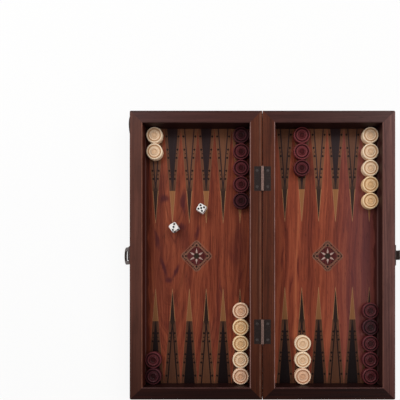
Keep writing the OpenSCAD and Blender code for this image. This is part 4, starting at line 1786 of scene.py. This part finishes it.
class CheckerTone(Enum):
    """Tones of the turned checkers: face, low places with painted shade, crests with painted highlight, and
    groove.
    """

    CREAM = ("#edcaa6", "#dcae85", "#f3dabc", "#bd8c60")
    GOLDEN = ("#ebc191", "#d6a570", "#f1d2a8", "#b5804a")
    PEACH = ("#e9ba97", "#cf9873", "#f0cdb1", "#ac7452")
    MAROON = ("#471719", "#220a0b", "#632f33", "#120404")
    PLUM = ("#341214", "#1a0708", "#4b242a", "#0c0303")
    RED = ("#5a1b1d", "#2a0b0c", "#7b3c3f", "#160505")


CREAM, GOLDEN, PEACH, MAROON, PLUM, RED = CheckerTone


@dataclass(frozen=True)
class CheckerSet:
    """The fifteen turned checkers of one side: the tone of each one's wood, and how they were finished."""

    colour: str
    tones: tuple[CheckerTone, ...]
    rubbed: Rings
    dark_rings: Rings
    lathe: float
    wax: ClearCoat

    def dress(self) -> None:
        """Gives each checker its finish."""
        for number, tone in enumerate(self.tones, start=1):
            finish = TurnedWood(
                f"turned_{tone.name.lower()}",
                *tone.value,
                rubbed=self.rubbed,
                dark_rings=self.dark_rings,
                lathe=self.lathe,
                wax=self.wax,
            )
            dress_node(f"{self.colour}_checker_{number}", finish)


LIGHT_CHECKERS = CheckerSet(
    "light",
    (
        CREAM, CREAM, PEACH, CREAM, GOLDEN, GOLDEN, PEACH, CREAM, CREAM, CREAM,
        GOLDEN, GOLDEN, PEACH, CREAM, CREAM,
    ),
    rubbed=((0.92, 0.07, 0.8), (0.55, 0.09, 0.7)),
    dark_rings=((0.74, 0.13, 0.75), (0.28, 0.2, 0.4)),
    lathe=0.1,
    wax=PALE_WAX,
)
DARK_CHECKERS = CheckerSet(
    "dark",
    (
        PLUM, MAROON, MAROON, MAROON, PLUM, PLUM, MAROON, RED, RED, MAROON,
        MAROON, MAROON, MAROON, PLUM, MAROON,
    ),
    rubbed=((0.58, 0.15, 0.7), (0.95, 0.06, 0.8)),
    dark_rings=((0.8, 0.1, 0.75), (0.26, 0.16, 0.4)),
    lathe=0.2,
    wax=DARK_WAX,
)


@dataclass
class Dice:
    """The two acrylic dice, and the black paint in the hollows of their pips."""

    size: float = 13 * MM
    # Radius of a pip's ball as a share of the die's size; its middle lies this share of that radius outside
    pip: float = 0.13
    sink: float = 0.35
    step: float = 0.265
    turns: Mapping[str, float] = field(default_factory=lambda: {"die_five": -31.0, "die_three": 33.0})
    counts: Mapping[str, tuple[int, int, int]] = field(
        default_factory=lambda: {"die_five": (5, 1, 3), "die_three": (3, 6, 5)}
    )
    # The share of a hollow that its paint's round part fills, how far the paint runs over the edge, and how
    # thick it is
    filled: float = 0.99
    spill: float = 0.35 * MM
    coat: float = 0.02 * MM
    rings: int = 4
    sides: int = 16

    @staticmethod
    def places(count: int) -> list[Point]:
        """Lays out the pips of a face.

        Args:
            count: number of pips.

        Returns:
            Their places, in steps from the middle of the face.
        """
        found: list[Point] = [(0, 0)] if count % 2 else []
        if count > 1:
            found += [(-1, -1), (1, 1)]
        if count > 3:
            found += [(-1, 1), (1, -1)]
        if count == 6:
            found += [(-1, 0), (1, 0)]
        return found

    @staticmethod
    def turned(point: Vector, turn: float) -> Vector:
        """The point, turned about the upright axis."""
        c, s = math.cos(turn), math.sin(turn)
        return Vector((point.x * c - point.y * s, point.x * s + point.y * c, point.z))

    def faces(self, name: str) -> tuple[tuple[int, Vector, Vector], ...]:
        """Describes the faces of one die.

        Args:
            name: the die's name.

        Returns:
            For each face its pips, and the two directions along its sides.
        """
        top, front, right = self.counts[name]
        x, y, z = (Vector(axis) for axis in ((1, 0, 0), (0, 1, 0), (0, 0, 1)))
        # Opposite faces add up to seven
        return (
            (top, x, y),
            (7 - top, x, -y),
            (front, x, z),
            (7 - front, -x, z),
            (right, y, z),
            (7 - right, -y, z),
        )

    def skin(self, u: Vector, v: Vector, middle: Vector) -> list[list[Vector]]:
        """Lays out the paint in one pip.

        Args:
            u: direction along the face.
            v: direction along the face, a quarter turn on.
            middle: middle of the pip's ball.

        Returns:
            The lowest point, rings up to the edge, and a last ring on the face.
        """
        out = u.cross(v)
        radius = self.pip * self.size
        drop = radius * self.sink
        rim = math.acos(drop / radius) * self.filled
        angles = [math.tau * i / self.sides for i in range(self.sides)]
        spokes = [u * math.cos(t) + v * math.sin(t) for t in angles]
        loops = [[middle - out * (radius - self.coat)]]
        for ring in range(1, self.rings + 1):
            lean = rim * ring / self.rings
            loops.append(
                [
                    middle + (spoke * math.sin(lean) - out * math.cos(lean)) * (radius - self.coat)
                    for spoke in spokes
                ]
            )
        wide = radius * math.sin(rim) + self.spill
        loops.append([middle - out * (drop - self.coat) + spoke * wide for spoke in spokes])
        return loops

    def paint(self, name: str) -> None:
        """Paints one die's pips: a thin skin that lies in each hollow.

        Args:
            name: the die's name.
        """
        low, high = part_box(name)
        centre = (low + high) / 2
        turn = math.radians(self.turns[name])
        drop = self.pip * self.size * self.sink
        mesh = bmesh.new()
        for count, u, v in self.faces(name):
            for a, b in self.places(count):
                middle = (u * a + v * b) * self.step * self.size + u.cross(v) * (self.size / 2 + drop)
                (pole,), *loops = (
                    [mesh.verts.new(self.turned(place, turn) + centre) for place in loop]
                    for loop in self.skin(u, v, middle)
                )
                for i, j in loop_of(range(self.sides)):
                    mesh.faces.new((pole, loops[0][i], loops[0][j]))
                for inner, outer in pairwise(loops):
                    for i, j in loop_of(range(self.sides)):
                        mesh.faces.new((inner[i], outer[i], outer[j], inner[j]))
        for face in mesh.faces:
            face.smooth = True
        finished_piece(f"{name}_pips", mesh, CastAcrylic("pip_paint", "#070708", 0.0, 0.6), name, None)

    def dress(self) -> None:
        """Gives the dice their finish and paints their pips."""
        for name in self.turns:
            dress_node(name, CastAcrylic("die_acrylic", "#f8f4f2", 0.15))
            self.paint(name)


@dataclass
class Fittings:
    """Hinges, latch, screws and plaque, in antique bronze with rubbed edges."""

    plan: BoardPlan
    # Heads of the nails on the left side face: places north and up
    nails: tuple[Point, ...] = ((202.5 * MM, 19.5 * MM), (233.5 * MM, 19.5 * MM), (-233.0 * MM, 22.0 * MM))

    def dress(self) -> None:
        """Gives each fitting its finish."""
        hinge = AntiqueMetal(
            "hinge_bronze", "#1f1715", "#322523", "#5c4943", barrel="#7e6259", barrel_x=self.plan.seam_x
        )
        latch = AntiqueMetal("latch_bronze", "#2e2422", "#4b3c38", "#86746e")
        plaque = AntiqueMetal("plaque_bronze", "#15100d", "#251b15", "#5d4a3b", studs=self.nails)
        pin = AntiqueMetal("pin_copper", "#6a4a40", "#8c685a", "#b08c7a", roughness=0.35, bare=0.7)
        screw = AntiqueMetal("screw_steel", "#3c3433", "#5c5250", "#8d807c", roughness=0.36, bare=0.7)
        fittings = (
            (hinge, ("left_hinge_leaves", "right_hinge_leaves")),
            (latch, ("latch_base", "latch_loop", "latch_catch")),
            (pin, ("hinge_pins", "latch_pin")),
            (screw, ("left_screws", "right_screws")),
            (plaque, ("plaque",)),
        )
        for finish, names in fittings:
            for name in names:
                dress_node(name, finish)


@dataclass
class Studio:
    """Pale table, soft light and the camera, which looks straight down as in the photograph."""

    plan: BoardPlan
    # Pixels of the photograph's frame of 400, where the seam's middle and the optical axis lie
    seam_px: Point = (262.5, 255.15)
    axis_px: Point = (238.0, 277.0)
    frame_px: float = 400.0
    metres_per_px: float = 1.6585 * MM
    height: float = 512 * MM
    sensor: float = 36.0
    table_half: float = 12.0
    table_drop: float = 0.1 * MM

    def build(self) -> None:
        """Adds the table, the world, the lamps and the camera."""
        self.table()
        self.world()
        # Name, place, width, height and watts
        lamps = (
            ("northwest_softbox", (-1.15, 1.25, 1.2), 1.3, 1.0, 19.0),
            ("northeast_softbox", (1.15, 1.25, 1.2), 1.3, 1.0, 16.0),
            ("west_softbox", (-1.3, 0.0, 1.2), 0.9, 1.3, 5.5),
            ("east_softbox", (1.3, -0.1, 1.2), 0.9, 1.3, 5.5),
        )
        for name, place, wide, high, watts in lamps:
            self.softbox(name, Vector(place), wide, high, watts)
        self.camera()

    def table(self) -> None:
        """Adds the table top, just under the board."""
        mesh = bmesh.new()
        bmesh.ops.create_grid(mesh, x_segments=1, y_segments=1, size=self.table_half)
        top = new_object("table_top", mesh, PaleTable("pale_table"))
        top.location.z = -self.table_drop

    def world(self) -> None:
        """Lights the studio softly: white at the horizon, and greyer overhead."""
        world = bpy.data.worlds.new("studio")
        bpy.context.scene.world = world
        world.use_nodes = True
        tree = world.node_tree
        tree.nodes.clear()
        up = add_node(tree, "SeparateXYZ", (add_node(tree, "TexCoord").outputs["Generated"],)).outputs[2]
        greys = ((0.0, "#ffffff"), (0.12, "#f4f4f4"), (0.45, "#8c8c8c"), (1.0, "#646464"))
        back = add_node(tree, "Background", (add_node(tree, "ValToRGB", (up,), greys), 1.0))
        add_node(tree, "OutputWorld", (back,))

    def softbox(self, name: str, place: Vector, wide: float, high: float, watts: float) -> None:
        """Adds a soft lamp that faces the board.

        Args:
            name: the lamp's name.
            place: its middle.
            wide: its width.
            high: its height.
            watts: its power.
        """
        data = bpy.data.lights.new(name, "AREA")
        data.shape = "RECTANGLE"
        data.size, data.size_y = wide, high
        data.energy = watts
        lamp = bpy.data.objects.new(name, data)
        lamp.location = place
        lamp.rotation_euler = (-place).to_track_quat("-Z", "Y").to_euler()
        bpy.context.scene.collection.objects.link(lamp)

    def camera(self) -> None:
        """Adds the camera, with the shift that the photograph's framing needs."""
        data = bpy.data.cameras.new("camera")
        data.sensor_width = self.sensor
        data.lens = self.height / self.metres_per_px / self.frame_px * self.sensor
        data.shift_x = -(self.axis_px[0] / self.frame_px - 0.5)
        data.shift_y = self.axis_px[1] / self.frame_px - 0.5
        data.clip_start, data.clip_end = 0.01, 50.0
        eye = bpy.data.objects.new("camera", data)
        rail_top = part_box("left_north_rail")[1].z
        eye.location = (
            self.plan.seam_x + (self.axis_px[0] - self.seam_px[0]) * self.metres_per_px,
            (self.seam_px[1] - self.axis_px[1]) * self.metres_per_px,
            rail_top + self.height,
        )
        bpy.context.scene.collection.objects.link(eye)
        bpy.context.scene.camera = eye


def main() -> None:
    """Builds the looks in order and reports each piece."""
    logging.basicConfig(level=logging.INFO, format="%(name)s: %(message)s")
    bpy.context.scene.view_settings.view_transform = "Standard"
    plan = BoardPlan.measured()
    for half in Half:
        Rails(half, plan).dress()
        Panels(half, plan).dress()
        Points(half, plan).dress()
        Rosette(half, plan).build()
        ChessBorder(half, plan).build()
    LIGHT_CHECKERS.dress()
    DARK_CHECKERS.dress()
    Dice().dress()
    Fittings(plan).dress()
    Studio(plan).build()


if __name__ == "__main__":
    main()
